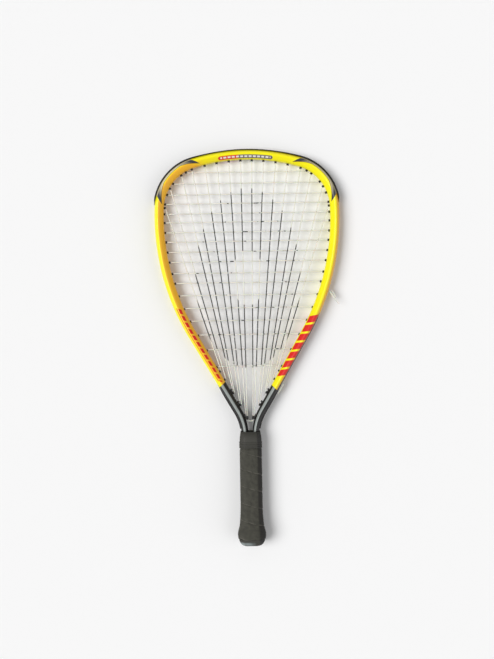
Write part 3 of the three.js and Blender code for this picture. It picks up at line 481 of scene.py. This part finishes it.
guard = channel_strip("nylon_bumper_guard", -flange_end, flange_end, bumper_top, flange_half)
under_guard = [place for place in cross_places if place < bumper_end] + main_places
with_barrels(guard, [side * place for place in under_guard for side in (1, -1)], guard_nub)
dress(guard, nylon)
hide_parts("bumper_guard")
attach(guard, "root")

upper_holes = [place for place in cross_places[:last_upper] if place > bumper_end]
lower_holes = cross_places[last_upper:]
for name, side in (("left", -1), ("right", 1)):
    for part, first, last in (("side_grommet_strip", bumper_end + 0.3, strip_end),
                              ("throat_strip", strip_end + 0.3, strip_foot_end)):
        start, end = sorted((side * first, side * last))
        strip = channel_strip(f"nylon_{part}_{name}", start, end, strip_top)
        if part == "side_grommet_strip":
            with_barrels(strip, [side * place for place in upper_holes], side_nub)
        with_barrels(strip, [side * place for place in lower_holes], stand_out)
        dress(strip, nylon)
        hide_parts(f"{part}_{name}")
        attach(strip, "root")
bpy.data.objects.remove(barrel)

# Throat grommets.
# Black nylon lugs, pressed into slots on the inside of the shafts. Each carries the lower turn of
# one or two main strings, and the lowest has a hook for the string beside the axis.

bore_offsets = ((-2.5,), (2.6, -2.6), (2.6, -2.6), (0,), (0,))
lug_heights = (0.9, 2.4, 2.4, 1.6, 1.6)
bores = [[place + offset for offset in offsets]
         for place, offsets in zip(grommet_places, bore_offsets)]
bore_radius, lug_depth = 0.98, 5.4
string_radius = 0.65
hook_turn = beside(grommet_places[0], 0).y - 2.5
hook_face = distance_where(lambda distance: beside(distance, 0), hook_turn - 2.2)
hook_x = beside(hook_face, -half_width(hook_face)).x - 0.6 - string_radius


def place_beside(piece, distance, out):
    """Moves a mesh made in mm round the origin (x along, y outwards) to its place on the frame."""
    centre = beside(distance, out)
    outwards = (beside(distance, 1) - beside(distance, 0)).normalized()
    forward, upward = Vector((outwards.y, -outwards.x, 0)), Vector((0, 0, 1))
    turn = Matrix((forward, outwards, upward)).transposed().to_4x4()
    piece.data.transform(Matrix.Translation(centre * mm) @ turn @ Matrix.Scale(mm, 4))


def nylon_block(name, size, bevel):
    """A moulded block with rounded edges, in mm round the origin."""
    bpy.ops.object.select_all(action="DESELECT")
    bpy.ops.mesh.primitive_cube_add(size=1)
    block = open_for_editing(name)
    bpy.ops.transform.resize(value=size)
    bpy.ops.mesh.bevel(offset=bevel, segments=3, affect="EDGES")
    close_editing(block)
    return block


def drill(piece, start, end, radius):
    """Cuts a round hole through a finished piece, from one point to another in mm."""
    bpy.ops.object.select_all(action="DESELECT")
    length = (end - start).length
    bpy.ops.mesh.primitive_cylinder_add(vertices=20, radius=radius * mm, depth=length * mm)
    bit = bpy.context.object
    turn = (end - start).to_track_quat("Z", "Y").to_matrix().to_4x4()
    bit.data.transform(Matrix.Translation((start + end) / 2 * mm) @ turn)
    cut = piece.modifiers.new("hole", "BOOLEAN")
    cut.object = bit
    cut.operation = "DIFFERENCE"
    bpy.context.view_layer.objects.active = piece
    bpy.ops.object.modifier_apply(modifier=cut.name)
    bpy.data.objects.remove(bit)


for name, side in (("left", -1), ("right", 1)):
    for number, place in enumerate(grommet_places):
        stem = 2 * (max(abs(offset) for offset in bore_offsets[number]) + bore_radius + 1.1)
        lug = lug_heights[number]
        face = half_width(place)
        block = nylon_block(f"nylon_throat_grommet_{name}_{number + 1}",
                            (stem - 1.0, lug, lug_depth), lug * 0.3)
        place_beside(block, side * (place + 0.5), -face - lug / 2)
        if number == 0:
            hook = nylon_block("hook", (3, 5, lug_depth), 0.7)
            hook.data.transform(Matrix.Translation(Vector((side * hook_x, hook_turn + 2.5, 0)) * mm)
                                @ Matrix.Scale(mm, 4))
            joint = block.modifiers.new("hook", "BOOLEAN")
            joint.object = hook
            joint.operation = "UNION"
            bpy.context.view_layer.objects.active = block
            bpy.ops.object.modifier_apply(modifier=joint.name)
            bpy.data.objects.remove(hook)
            drill(block, Vector((side * hook_x, hook_turn - 2, 0)),
                  Vector((side * hook_x, hook_turn + 7, 0)), bore_radius)
        for bore in bores[number]:
            drill(block, beside(side * bore, -face - 5), beside(side * bore, 0), bore_radius)
        if number in (1, 2):
            drill(block, beside(side * place, -face - lug, -4),
                  beside(side * place, -face - lug, 4), 1.5)
        dress(block, nylon)
        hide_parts(f"throat_grommet_{name}_{number + 1}")
        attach(block, "root")

# Strings.
# Cream monofilament nylon, 1.3 mm thick. One length makes all sixteen mains, two more weave the
# crosses over and under them, and each is knotted in the groove. A stencil leaves black ink on
# the face, and one loose end stands out on the right.

# Drawn a little thicker than it is, so that it shows
drawn_radius = 0.72
weave_rise = 2 * drawn_radius + 0.1
main_dip = 0.35


def low_run(distance):
    return half_width(distance) - groove_depth + 0.3 + 0.7 + 0.3 + string_radius


def high_run(distance):
    return low_run(distance) + 2 * string_radius + 0.3


def proud_run(distance):
    return half_width(distance) + 3.0


def outside_run(start, end, level, aside=0.0):
    """The run in the groove between two holes of one side."""
    steps = math.ceil(abs(end - start) / 4)
    places = [start + (end - start) * step / steps for step in range(steps + 1)]
    return [beside(place, level(place), aside) for place in places]


lower_bores = [place for group in bores for place in group]
lower_lugs = [lug_heights[number] for number, group in enumerate(bores) for _ in group]
main_feet = [Vector((hook_x, hook_turn - 1.1, 0))]
main_feet += [beside(place, -half_width(place) - lug - 0.9)
              for place, lug in zip(lower_bores, lower_lugs)]
main_mouths = [mouth(place) for place in main_places]


def main_x(main, height):
    foot, top = main_feet[main], main_mouths[main]
    return foot.x + (top.x - foot.x) * (height - foot.y) / (top.y - foot.y)


def crossings_of(cross):
    """Where one cross meets the mains, from left to right, and whether it passes over them."""
    height = cross_heights[cross]
    met = [main for main, top in enumerate(main_mouths) if top.y > height + string_radius]
    met = [(side * main_x(main, height), side * (main + 1)) for main in met for side in (-1, 1)]
    passes, over, last = [], 1 if cross % 2 == 0 else -1, None
    for x, main in sorted(met):
        # Mains that lie close together are passed as a pair
        if last is None or x - last > 4:
            over = -over
        passes.append((x, main, over))
        last = x
    return passes


crossings = [crossings_of(cross) for cross in range(len(cross_heights))]


def eased(points):
    """Fills in a woven run, so that it rises and falls in smooth waves between its crossings."""
    filled = [points[0]]
    for a, b in zip(points, points[1:]):
        steps = 6 if abs(a.z - b.z) > 0.5 else 2
        for step in range(1, steps + 1):
            share = step / steps
            point = a.lerp(b, share)
            point.z = a.z + (b.z - a.z) * (1 - math.cos(math.pi * share)) / 2
            filled.append(point)
    return filled


def main_run(main, side):
    """One main from its mouth at the head down to its foot, dipping at every cross."""
    points = [main_mouths[main]]
    for cross, passes in enumerate(crossings):
        for x, met, over in passes:
            if met == side * (main + 1) and cross_heights[cross] > main_feet[main].y + 3:
                points.append(Vector((abs(x), cross_heights[cross], -over * main_dip)))
    points.append(main_feet[main])
    return [Vector((side * point.x, point.y, point.z)) for point in eased(points)]


def cross_run(cross, side):
    """One cross from the given side to the other, waving over and under the mains."""
    place = cross_places[cross]
    points = [mouth(-place)]
    points += [Vector((x, cross_heights[cross], over * (weave_rise - main_dip)))
               for x, _, over in crossings[cross]]
    points.append(mouth(place))
    run = eased(points)
    return run if side < 0 else run[::-1]


def knot(place, level):
    """A half hitch in the groove: the string comes out of its hole, aside, and thickens."""
    return [beside(place + 1.3 + step, level(place) + 0.6, -1.35) for step in (0, 1.5, 3)]


def flipped(points):
    return [Vector((-point.x, point.y, point.z)) for point in points]


def half_of_mains(side):
    """From the knot at the outermost main to the foot of the innermost, on one side."""
    start = lower_bores[6]
    points = knot(start, high_run)[::-1] + [beside(start, high_run(start))]
    if side < 0:
        points = flipped(points)
    for main in (7, 5, 3, 1):
        points += main_run(main, side)[::-1]
        points += outside_run(side * main_places[main], side * main_places[main - 1], high_run)
        points += main_run(main - 1, side)
        if main > 1:
            start, end = lower_bores[main - 2], lower_bores[main - 3]
            level = proud_run if main == 7 and side > 0 else low_run
            points += outside_run(side * start, side * end, level)
    points.append(Vector((side * (hook_x - 1.1), hook_turn - 2.2, 0)))
    return points


def length_of_crosses(order):
    """The crosses in the given order, joined by the runs between them on alternate sides."""
    points, side = [], 1
    for number, cross in enumerate(order):
        place = cross_places[cross]
        if number == 0:
            points.append(beside(side * place, low_run(place)))
        points += cross_run(cross, side)
        side = -side
        if number + 1 < len(order):
            next_place = cross_places[order[number + 1]]
            start, end = side * place, side * next_place
            if min(place, next_place) < bumper_end:
                lead = math.copysign(1.3, end - start)
                points.append(beside(start, low_run(start)))
                points += outside_run(start + lead, end - lead, low_run, 1.85)
                points.append(beside(end, low_run(end)))
            else:
                points += outside_run(start, end, low_run)
        else:
            points.append(beside(side * place, low_run(place)))
    return points


def loose_end():
    """The end left over at the last upper cross: down the groove, out, curled up, a cut tip."""
    hole = cross_places[last_upper - 1]
    leaves, curl, length, turns = hole + 8, 2.1, 25, 4
    outwards = (beside(leaves, 1) - beside(leaves, 0)).normalized()
    down = Vector((outwards.y, -outwards.x, 0))
    heading = outwards * 0.8 + down * 0.6
    aside = Vector((0, 0, 1)).cross(heading)
    start = beside(leaves, half_width(leaves) + string_radius)
    points = outside_run(hole, leaves, low_run)[1:] + [start]
    for step in range(16 * turns + 1):
        share = step / (16 * turns)
        angle = 2 * math.pi * turns * share
        point = start + heading * (length * (0.12 + 0.43 * share) + curl * math.sin(angle))
        point += aside * curl * (0.4 - math.cos(angle))
        point.z = -string_radius * (1 - math.cos(angle))
        points.append(point)
    tip = start + heading * length
    tip.z = points[-1].z - string_radius
    return points + [tip]


def drawn_string(name, points, thick=()):
    """A round string through points in mm, its corners eased, its knots thickened."""
    kept = [points[0]]
    for point in points[1:]:
        if (point - kept[-1]).length > 0.05:
            kept.append(point)
    line = bpy.data.curves.new(name, "CURVE")
    line.dimensions = "3D"
    line.bevel_depth = drawn_radius * mm
    line.bevel_resolution = 2
    line.use_fill_caps = True
    spline = line.splines.new("POLY")
    spline.points.add(len(kept) - 1)
    for vertex, point in zip(spline.points, kept):
        vertex.co = (*(point * mm), 1)
        if any((point - middle).length < 0.1 for middle in thick):
            vertex.radius = 1.6
    string = bpy.data.objects.new(name, line)
    bpy.context.collection.objects.link(string)
    bpy.ops.object.select_all(action="DESELECT")
    string.select_set(True)
    bpy.context.view_layer.objects.active = string
    bpy.ops.object.convert(target="MESH")
    bpy.ops.object.shade_smooth_by_angle(angle=math.radians(50))
    string.select_set(False)
    return string


mains = half_of_mains(1)
mains += half_of_mains(-1)[::-1]
first_knot = knot(lower_bores[6], high_run)[1]
main_string = drawn_string("nylon_main_string", mains, (first_knot, flipped([first_knot])[0]))
top_knot = knot(cross_places[0], low_run)
upper = drawn_string("nylon_upper_cross_string", loose_end()[::-1]
                     + length_of_crosses(range(last_upper - 1, -1, -1)) + top_knot, top_knot[1:2])
low_knots = knot(cross_places[last_upper], low_run), knot(cross_places[-1], low_run)
lower = drawn_string("nylon_lower_cross_string", low_knots[0][::-1]
                     + length_of_crosses(range(last_upper, len(cross_places))) + low_knots[1],
                     (low_knots[0][1], low_knots[1][1]))

# Monofilament nylon: clear cream, glossy, with a little light passing through, its sides greyed as
# painted shade. The ink is an oval ring of plain strokes, and it has worn off where the strings
# rub on each other.
for string, node, inked in ((main_string, "main_string", 1.3), (upper, "upper_cross_string", 0.3),
                            (lower, "lower_cross_string", 0.3)):
    filament, surface = finish_named(f"monofilament_{node}", Roughness=0.3, IOR=1.53,
                                     Subsurface_Weight=0.15, Subsurface_Scale=0.0008)
    where = add(filament, "ShaderNodeTexCoord", {}, 3)
    shade = add(filament, "ShaderNodeTexNoise", {"Vector": where, "Scale": 60.0})
    cream_and_shade = sprayed(filament, srgb("#fbfaf0"), srgb("#eeecdb"), (shade, 0.3, 0.7))
    # Painted shade: the string's sides, where its surface turns away from up and down, are greyed
    facing = add(filament, "ShaderNodeTexCoord", {}, 1)
    upright = add(filament, "ShaderNodeSeparateXYZ", {0: facing}, 2)
    flatness = add(filament, "ShaderNodeMath", {0: upright}, operation="ABSOLUTE")
    cream_and_shade = sprayed(filament, cream_and_shade, srgb("#9b9b8b"), (flatness, 0.85, 0.5))
    from_centre = add(filament, "ShaderNodeMapping", {"Vector": where, "Location": (0, -0.098, 0)})
    oval = add(filament, "ShaderNodeVectorMath", {0: from_centre, 1: (1 / 0.075, 1 / 0.128, 0)},
               operation="MULTIPLY")
    reach = add(filament, "ShaderNodeVectorMath", {0: oval}, "Value", operation="LENGTH")
    worn = add(filament, "ShaderNodeTexNoise", {"Vector": where, "Scale": 120.0, "Detail": 3.0})
    ink = ((reach, 1.0, 0.985), (reach, 0.3, 0.315), (worn, 0.3 + inked * 0.32, 0.28 + inked * 0.3))
    glossy, matt = (0.3, 0.3, 0.3, 1), (0.85, 0.85, 0.85, 1)
    feed(filament, surface, Base_Color=sprayed(filament, cream_and_shade, srgb("#111214"), *ink),
         Roughness=sprayed(filament, glossy, matt, *ink))
    string.data.materials.append(filament)
    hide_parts(node)
    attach(string, "root")

# Handle core.
# Two half shells of hard foam are glued round the shafts and make the grip's octagon. They stay
# as the solids give them, and so do the staples that hold the butt cap and the vinyl tape that
# holds the end of the grip.

# Moulded polyurethane foam: matt grey, with cells of about 1 mm
foam, surface = finish_named("pallet_foam", Roughness=0.9)
where = add(foam, "ShaderNodeTexCoord", {}, 3)
cells = add(foam, "ShaderNodeTexVoronoi", {"Vector": where, "Scale": 900.0})
relief = add(foam, "ShaderNodeBump", {"Height": cells, "Strength": 0.3, "Distance": 0.0004})
feed(foam, surface, Normal=relief,
     Base_Color=sprayed(foam, srgb("#8d8a83"), srgb("#77746d"), (cells, 0.0, 1.0)))
# Drawn steel wire: bright, its shine broken by fine marks
steel, surface = finish_named("staple_steel", Base_Color=srgb("#b9bbbd"), Metallic=1.0,
                              Roughness=0.32)
where = add(steel, "ShaderNodeTexCoord", {}, 3)
drawn = add(steel, "ShaderNodeTexNoise", {"Vector": where, "Scale": 2500.0})
feed(steel, surface, Roughness=add(steel, "ShaderNodeMapRange", {0: drawn, 3: 0.22, 4: 0.42}))
# Stretched vinyl tape: dark and satin, slightly uneven
vinyl, surface = finish_named("tape_vinyl", Base_Color=srgb("#26241f"), Roughness=0.4)
where = add(vinyl, "ShaderNodeTexCoord", {}, 3)
uneven = add(vinyl, "ShaderNodeTexNoise", {"Vector": where, "Scale": 300.0})
relief = add(vinyl, "ShaderNodeBump", {"Height": uneven, "Strength": 0.1, "Distance": 0.0003})
feed(vinyl, surface, Normal=relief)
for node, finish in (("handle_pallet_upper", foam), ("handle_pallet_lower", foam),
                     ("butt_cap_staple_upper", steel), ("butt_cap_staple_lower", steel),
                     ("finishing_tape", vinyl)):
    dress(nodes[node], finish)

# Butt cap.
# A soft black rubber cup, pushed over the foot of the handle and stapled. Its rim flares to stop
# the hand, and its end has a hole for a wrist cord.

butt = -279.4


def octagon_bar(name, width, depth, corner, levels, rounding):
    """A bar along the handle, its corners cut and rounded, with a ring at each level: a height
    above the butt and how far the section grows there."""
    bpy.ops.object.select_all(action="DESELECT")
    bpy.ops.mesh.primitive_cube_add(size=1)
    bar = open_for_editing(name)
    foot, top = levels[0][0], levels[-1][0]
    bpy.ops.transform.resize(value=(width, top - foot, depth))
    bpy.ops.transform.translate(value=(0, butt + (foot + top) / 2, 0))
    pick(bar, "edges", lambda middle, way: abs(way.y) > 0.99)
    bpy.ops.mesh.bevel(offset=corner, segments=1, affect="EDGES")
    pick(bar, "edges", lambda middle, way: abs(way.y) > 0.99)
    bpy.ops.mesh.bevel(offset=rounding, segments=3, affect="EDGES")
    for height, _ in levels[1:-1]:
        bpy.ops.mesh.select_all(action="SELECT")
        bpy.ops.mesh.bisect(plane_co=(0, butt + height, 0), plane_no=(0, 1, 0))
    for height, growth in levels:
        pick(bar, "verts", lambda at: abs(at.y - butt - height) < 0.01)
        bpy.ops.transform.resize(value=(1 + 2 * growth / width, 1, 1 + 2 * growth / depth),
                                 center_override=(0, butt + height, 0))
    return bar


cap_levels = (
    (0, -1.6), (0.25, -0.7), (1.0, 0.6), (2.3, 1.9), (3.6, 2.9), (4.95, 3.6), (6.5, 4.2),
    (8.2, 4.5), (9.2, 4.6), (9.6, 4.4), (9.9, 3.59), (12.5, 4.28), (16, 4.3), (19.8, 3.5),
    (25, 2.0), (28, 1.4), (33, 0.8))
cap = octagon_bar("rubber_butt_cap", 27.2, 21.3, 5.27, cap_levels, 2.2)
close_editing(cap, 40)
cap.data.transform(Matrix.Scale(mm, 4))
drill(cap, Vector((0, butt - 2, 0)), Vector((0, butt + 3.4, 0)), 2.5)

# Moulded rubber: matt, nearly black, with a grey bloom, and painted shade that darkens the faces
# turned to the right
rubber, surface = finish_named("moulded_rubber", Roughness=0.6, Specular_IOR_Level=0.3)
where = add(rubber, "ShaderNodeTexCoord", {}, 3)
skin = add(rubber, "ShaderNodeTexNoise", {"Vector": where, "Scale": 900.0, "Detail": 3.0})
facing = add(rubber, "ShaderNodeTexCoord", {}, 1)
turned_right = add(rubber, "ShaderNodeSeparateXYZ", {0: facing}, 0)
bloom_and_shade = sprayed(rubber, srgb("#2c2b27"), srgb("#3f3e38"), (skin, 0.0, 1.0))
# Painted shade: faces turned to the right, away from the light, are darker
bloom_and_shade = sprayed(rubber, bloom_and_shade, srgb("#1a1917"), (turned_right, 0.3, 0.65))
relief = add(rubber, "ShaderNodeBump", {"Height": skin, "Strength": 0.2, "Distance": 0.0003})
feed(rubber, surface, Base_Color=bloom_and_shade, Normal=relief)
# The rim is rubbed grey where it has been stood on the floor
rubbed = rubber.copy()
rubbed.name = "rubbed_rubber"
shader = rubbed.node_tree.nodes["Principled BSDF"]
clean = shader.inputs["Base Color"].links[0].from_socket
where = add(rubbed, "ShaderNodeTexCoord", {}, 3)
patch = add(rubbed, "ShaderNodeTexNoise", {"Vector": where, "Scale": 90.0, "Detail": 2.0})
x, y = (add(rubbed, "ShaderNodeSeparateXYZ", {0: where}, i) for i in (0, 1))
greyed = sprayed(rubbed, clean, srgb("#8b9494"), (x, 0.006, -0.006), (patch, 0.3, 0.6),
                 (y, (butt + 6.8) * mm, (butt + 4.4) * mm),
                 (y, (butt + 0.1) * mm, (butt + 0.9) * mm))
feed(rubbed, shader, Base_Color=greyed)
dress(cap, rubbed)
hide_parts("butt_cap")
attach(cap, "root")

# Grip.
# One strip of soft dark synthetic leather, about 24 mm wide, wound up the handle from the butt in
# six turns, edge against edge, with its pressed edges showing as slanting seams.

wrap_levels = (
    (9.9, 3.59), (12.5, 4.28), (16, 4.3), (19.8, 3.5), (25, 2.0), (30, 1.35), (36, 0.9),
    (44, 0.3), (54, 0), (134.5, 0), (137, -1.7), (150, -1.7))
# Half the handle's width and depth under the strip, and its corners' cut, in mm
handle_x, handle_z, corner_cut = 13.6, 10.65, 5.27
wrap_pitch = 24
# Wound in seven turns, which are then cut off square at both ends
turns = 7
bpy.ops.object.select_all(action="DESELECT")
bpy.ops.mesh.primitive_grid_add(x_subdivisions=turns * 72, y_subdivisions=14, size=1)
wrap = open_for_editing("wound_grip")
bpy.ops.object.mode_set(mode="OBJECT")
strip = np.array([tuple(vertex.co) for vertex in wrap.data.vertices])
angle = (strip[:, 0] + 0.5) * turns * 2 * math.pi
across = strip[:, 1] + 0.5
height = 1.9 + wrap_pitch * (angle / (2 * math.pi) - 1) + 0.5 + across * (wrap_pitch - 0.5)
growth = np.interp(height - 0.3, *zip(*wrap_levels)) + 0.3
edge = np.minimum(across, 1 - across) * wrap_pitch
growth = growth - 0.45 * np.clip(1 - edge / 1.6, 0, 1) ** 2
half_x, half_z = handle_x + growth, handle_z + growth
cut = half_x + half_z - (corner_cut + (2 - math.sqrt(2)) * growth)
c, s = np.abs(np.cos(angle)), np.abs(np.sin(angle))
radius = ((c / half_x) ** 22 + (s / half_z) ** 22 + ((c + s) / cut) ** 22) ** (-1 / 22)
wound = np.stack((radius * np.cos(angle), butt + height, radius * np.sin(angle)), axis=1) * mm
wrap.data.vertices.foreach_set("co", wound.astype(np.float32).ravel())
wrap.data.attributes.new("straight", "FLOAT_VECTOR", "POINT").data.foreach_set("vector", np.stack(
    (angle * 13.5, across * wrap_pitch, 0 * angle), axis=1).astype(np.float32).ravel())
bpy.ops.object.mode_set(mode="EDIT")
for height, clear_low in ((10.3, True), (146.2, False)):
    bpy.ops.mesh.select_all(action="SELECT")
    bpy.ops.mesh.bisect(plane_co=(0, (butt + height) * mm, 0), plane_no=(0, 1, 0),
                        clear_inner=clear_low, clear_outer=not clear_low)
close_editing(wrap, 60)
wall = wrap.modifiers.new("thickness", "SOLIDIFY")
wall.thickness = 1.75 * mm
wall.offset = 1
wall.use_even_offset = False
soft = wrap.modifiers.new("edges", "BEVEL")
soft.width = 0.3 * mm
soft.segments = 2
soft.limit_method = "ANGLE"
soft.angle_limit = math.radians(50)
bpy.context.view_layer.objects.active = wrap
for modifier in (wall.name, soft.name):
    bpy.ops.object.modifier_apply(modifier=modifier)

# Synthetic leather: matt, nearly black brown, unevenly grey, with a fine pebble and creases,
# painted shade on the faces turned to the right and a painted highlight along each seam
leather, surface = finish_named("grip_leather", Roughness=0.7, Specular_IOR_Level=0.25,
                                Sheen_Weight=0.05)
place = add(leather, "ShaderNodeAttribute", {}, 1, attribute_name="straight")
pebble = add(leather, "ShaderNodeTexVoronoi", {"Vector": place, "Scale": 1.1})
crease = add(leather, "ShaderNodeTexNoise", {"Vector": place, "Scale": 0.16, "Detail": 4.0})
across = add(leather, "ShaderNodeSeparateXYZ", {0: place}, 1)
facing = add(leather, "ShaderNodeTexCoord", {}, 1)
turned_right = add(leather, "ShaderNodeSeparateXYZ", {0: facing}, 0)
hide = sprayed(leather, srgb("#33322c"), srgb("#45443c"), (crease, 0.3, 0.7))
# Painted shade: faces turned to the right, away from the light, are darker
hide = sprayed(leather, hide, srgb("#1a1814"), (turned_right, 0.3, 0.65))
# Painted highlight: a pale line along one edge of each seam, where the raised edge catches the
# light
hide = sprayed(leather, hide, srgb("#65625a"), (across, 1.6, 0.6), (crease, 0.36, 0.75))
relief = add(leather, "ShaderNodeMath", {0: crease, 1: 3.0, 2: pebble}, operation="MULTIPLY_ADD")
relief = add(leather, "ShaderNodeBump", {"Height": relief, "Strength": 0.35, "Distance": 0.0004})
feed(leather, surface, Base_Color=hide, Normal=relief)
wrap.data.materials.append(leather)
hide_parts("grip_wrap")
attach(wrap, "root")

# Collar.
# A moulded rubber sleeve, rolled down over the end of the grip. It narrows to the two shafts, and
# three ribs at its lower end keep it from rolling back.

collar_levels = (
    (137.3, 0), (137.9, 0.6), (139.1, 0.6), (139.7, 0), (140.5, 0), (141.1, 0.6), (142.3, 0.6),
    (142.9, 0), (143.7, 0), (144.3, 0.6), (145.5, 0.6), (146.1, 0), (149.7, 0), (151.5, -0.15),
    (160.7, -1.6))
collar = octagon_bar("rubber_collar_sleeve", 30.9, 25.0, 6.4, collar_levels, 1.6)
pick(collar, "faces", lambda middle, facing: abs(facing.y) > 0.9 and
     (middle.y < butt + 137.4 or middle.y > butt + 160.6))
bpy.ops.mesh.delete(type="FACE")
close_editing(collar, 40)
collar.data.transform(Matrix.Scale(mm, 4))
wall = collar.modifiers.new("wall", "SOLIDIFY")
wall.thickness = 0.95 * mm
wall.offset = -1
bpy.context.view_layer.objects.active = collar
bpy.ops.object.modifier_apply(modifier=wall.name)
dress(collar, rubber)
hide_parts("rubber_collar")
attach(collar, "root")

# Floor, lamps and camera.
# The racket lies flat on a plain pale floor that it touches at the butt and the head. Broad light
# from the left gives the soft shadow, a weaker one fills the faces turned right, and the room the
# rest.

bpy.ops.object.select_all(action="DESELECT")
bpy.ops.mesh.primitive_plane_add(size=12)
floor = open_for_editing("floor")
# It leans, because the cap's rim stands lower than the head: depths below the axis, in metres
rim_below, head_below, apart, rim_away = 0.01726, 0.0105, 0.535, 0.263
lean = math.atan2(rim_below - head_below, apart)
bpy.ops.transform.rotate(value=-lean, orient_axis="X", center_override=(0, 0, 0))
bpy.ops.transform.translate(value=(0, 0, -rim_below + rim_away * math.tan(lean)))
bpy.ops.object.mode_set(mode="OBJECT")


def seen_rays(finish):
    """1 where it is looked at, also in a reflection or through glass, and 0 for its light."""
    seen = 0.0
    for name in ("Is Camera Ray", "Is Glossy Ray", "Is Transmission Ray"):
        ray = add(finish, "ShaderNodeLightPath", {}, name)
        seen = add(finish, "ShaderNodeMath", {0: seen, 1: ray}, operation="ADD", use_clamp=True)
    return seen


# Matt floor paint: nearly white, and a little darker in the light that it throws back
ground, surface = finish_named("floor_paint", Roughness=0.9, Specular_IOR_Level=0.2)
feed(ground, surface,
     Base_Color=sprayed(ground, srgb("#dcdcdc"), srgb("#f8f8f8"), (seen_rays(ground), 0, 1)))
floor.data.materials.append(ground)

for name, way, angle, power in (("window_light", (0.74, 0.02, -1), 36, 2.3),
                                ("fill_light", (-0.85, 0.25, -0.6), 60, 0.65)):
    bpy.ops.object.light_add(type="SUN", location=(-1, 0.4, 1.6))
    lamp = bpy.context.object
    lamp.name = name
    lamp.rotation_euler = Vector(way).to_track_quat("-Z", "Y").to_euler()
    lamp.data.angle = math.radians(angle)
    lamp.data.energy = power

room = bpy.data.worlds.new("room")
bpy.context.scene.world = room
room.use_nodes = True
backdrop = room.node_tree.nodes["Background"]
strength = add(room, "ShaderNodeMapRange", {0: seen_rays(room), 3: 0.29, 4: 1.0})
room.node_tree.links.new(strength, backdrop.inputs["Strength"])
backdrop.inputs["Color"].default_value = (1, 1, 1, 1)

bpy.ops.object.camera_add(location=(-0.0025, 0.0250, 1.2), rotation=(0, 0, math.radians(-0.93)))
camera = bpy.context.object
view_height = 0.9325
camera.data.lens = 36 * camera.location.z / view_height
bpy.context.scene.camera = camera
bpy.context.scene.view_settings.view_transform = "Standard"
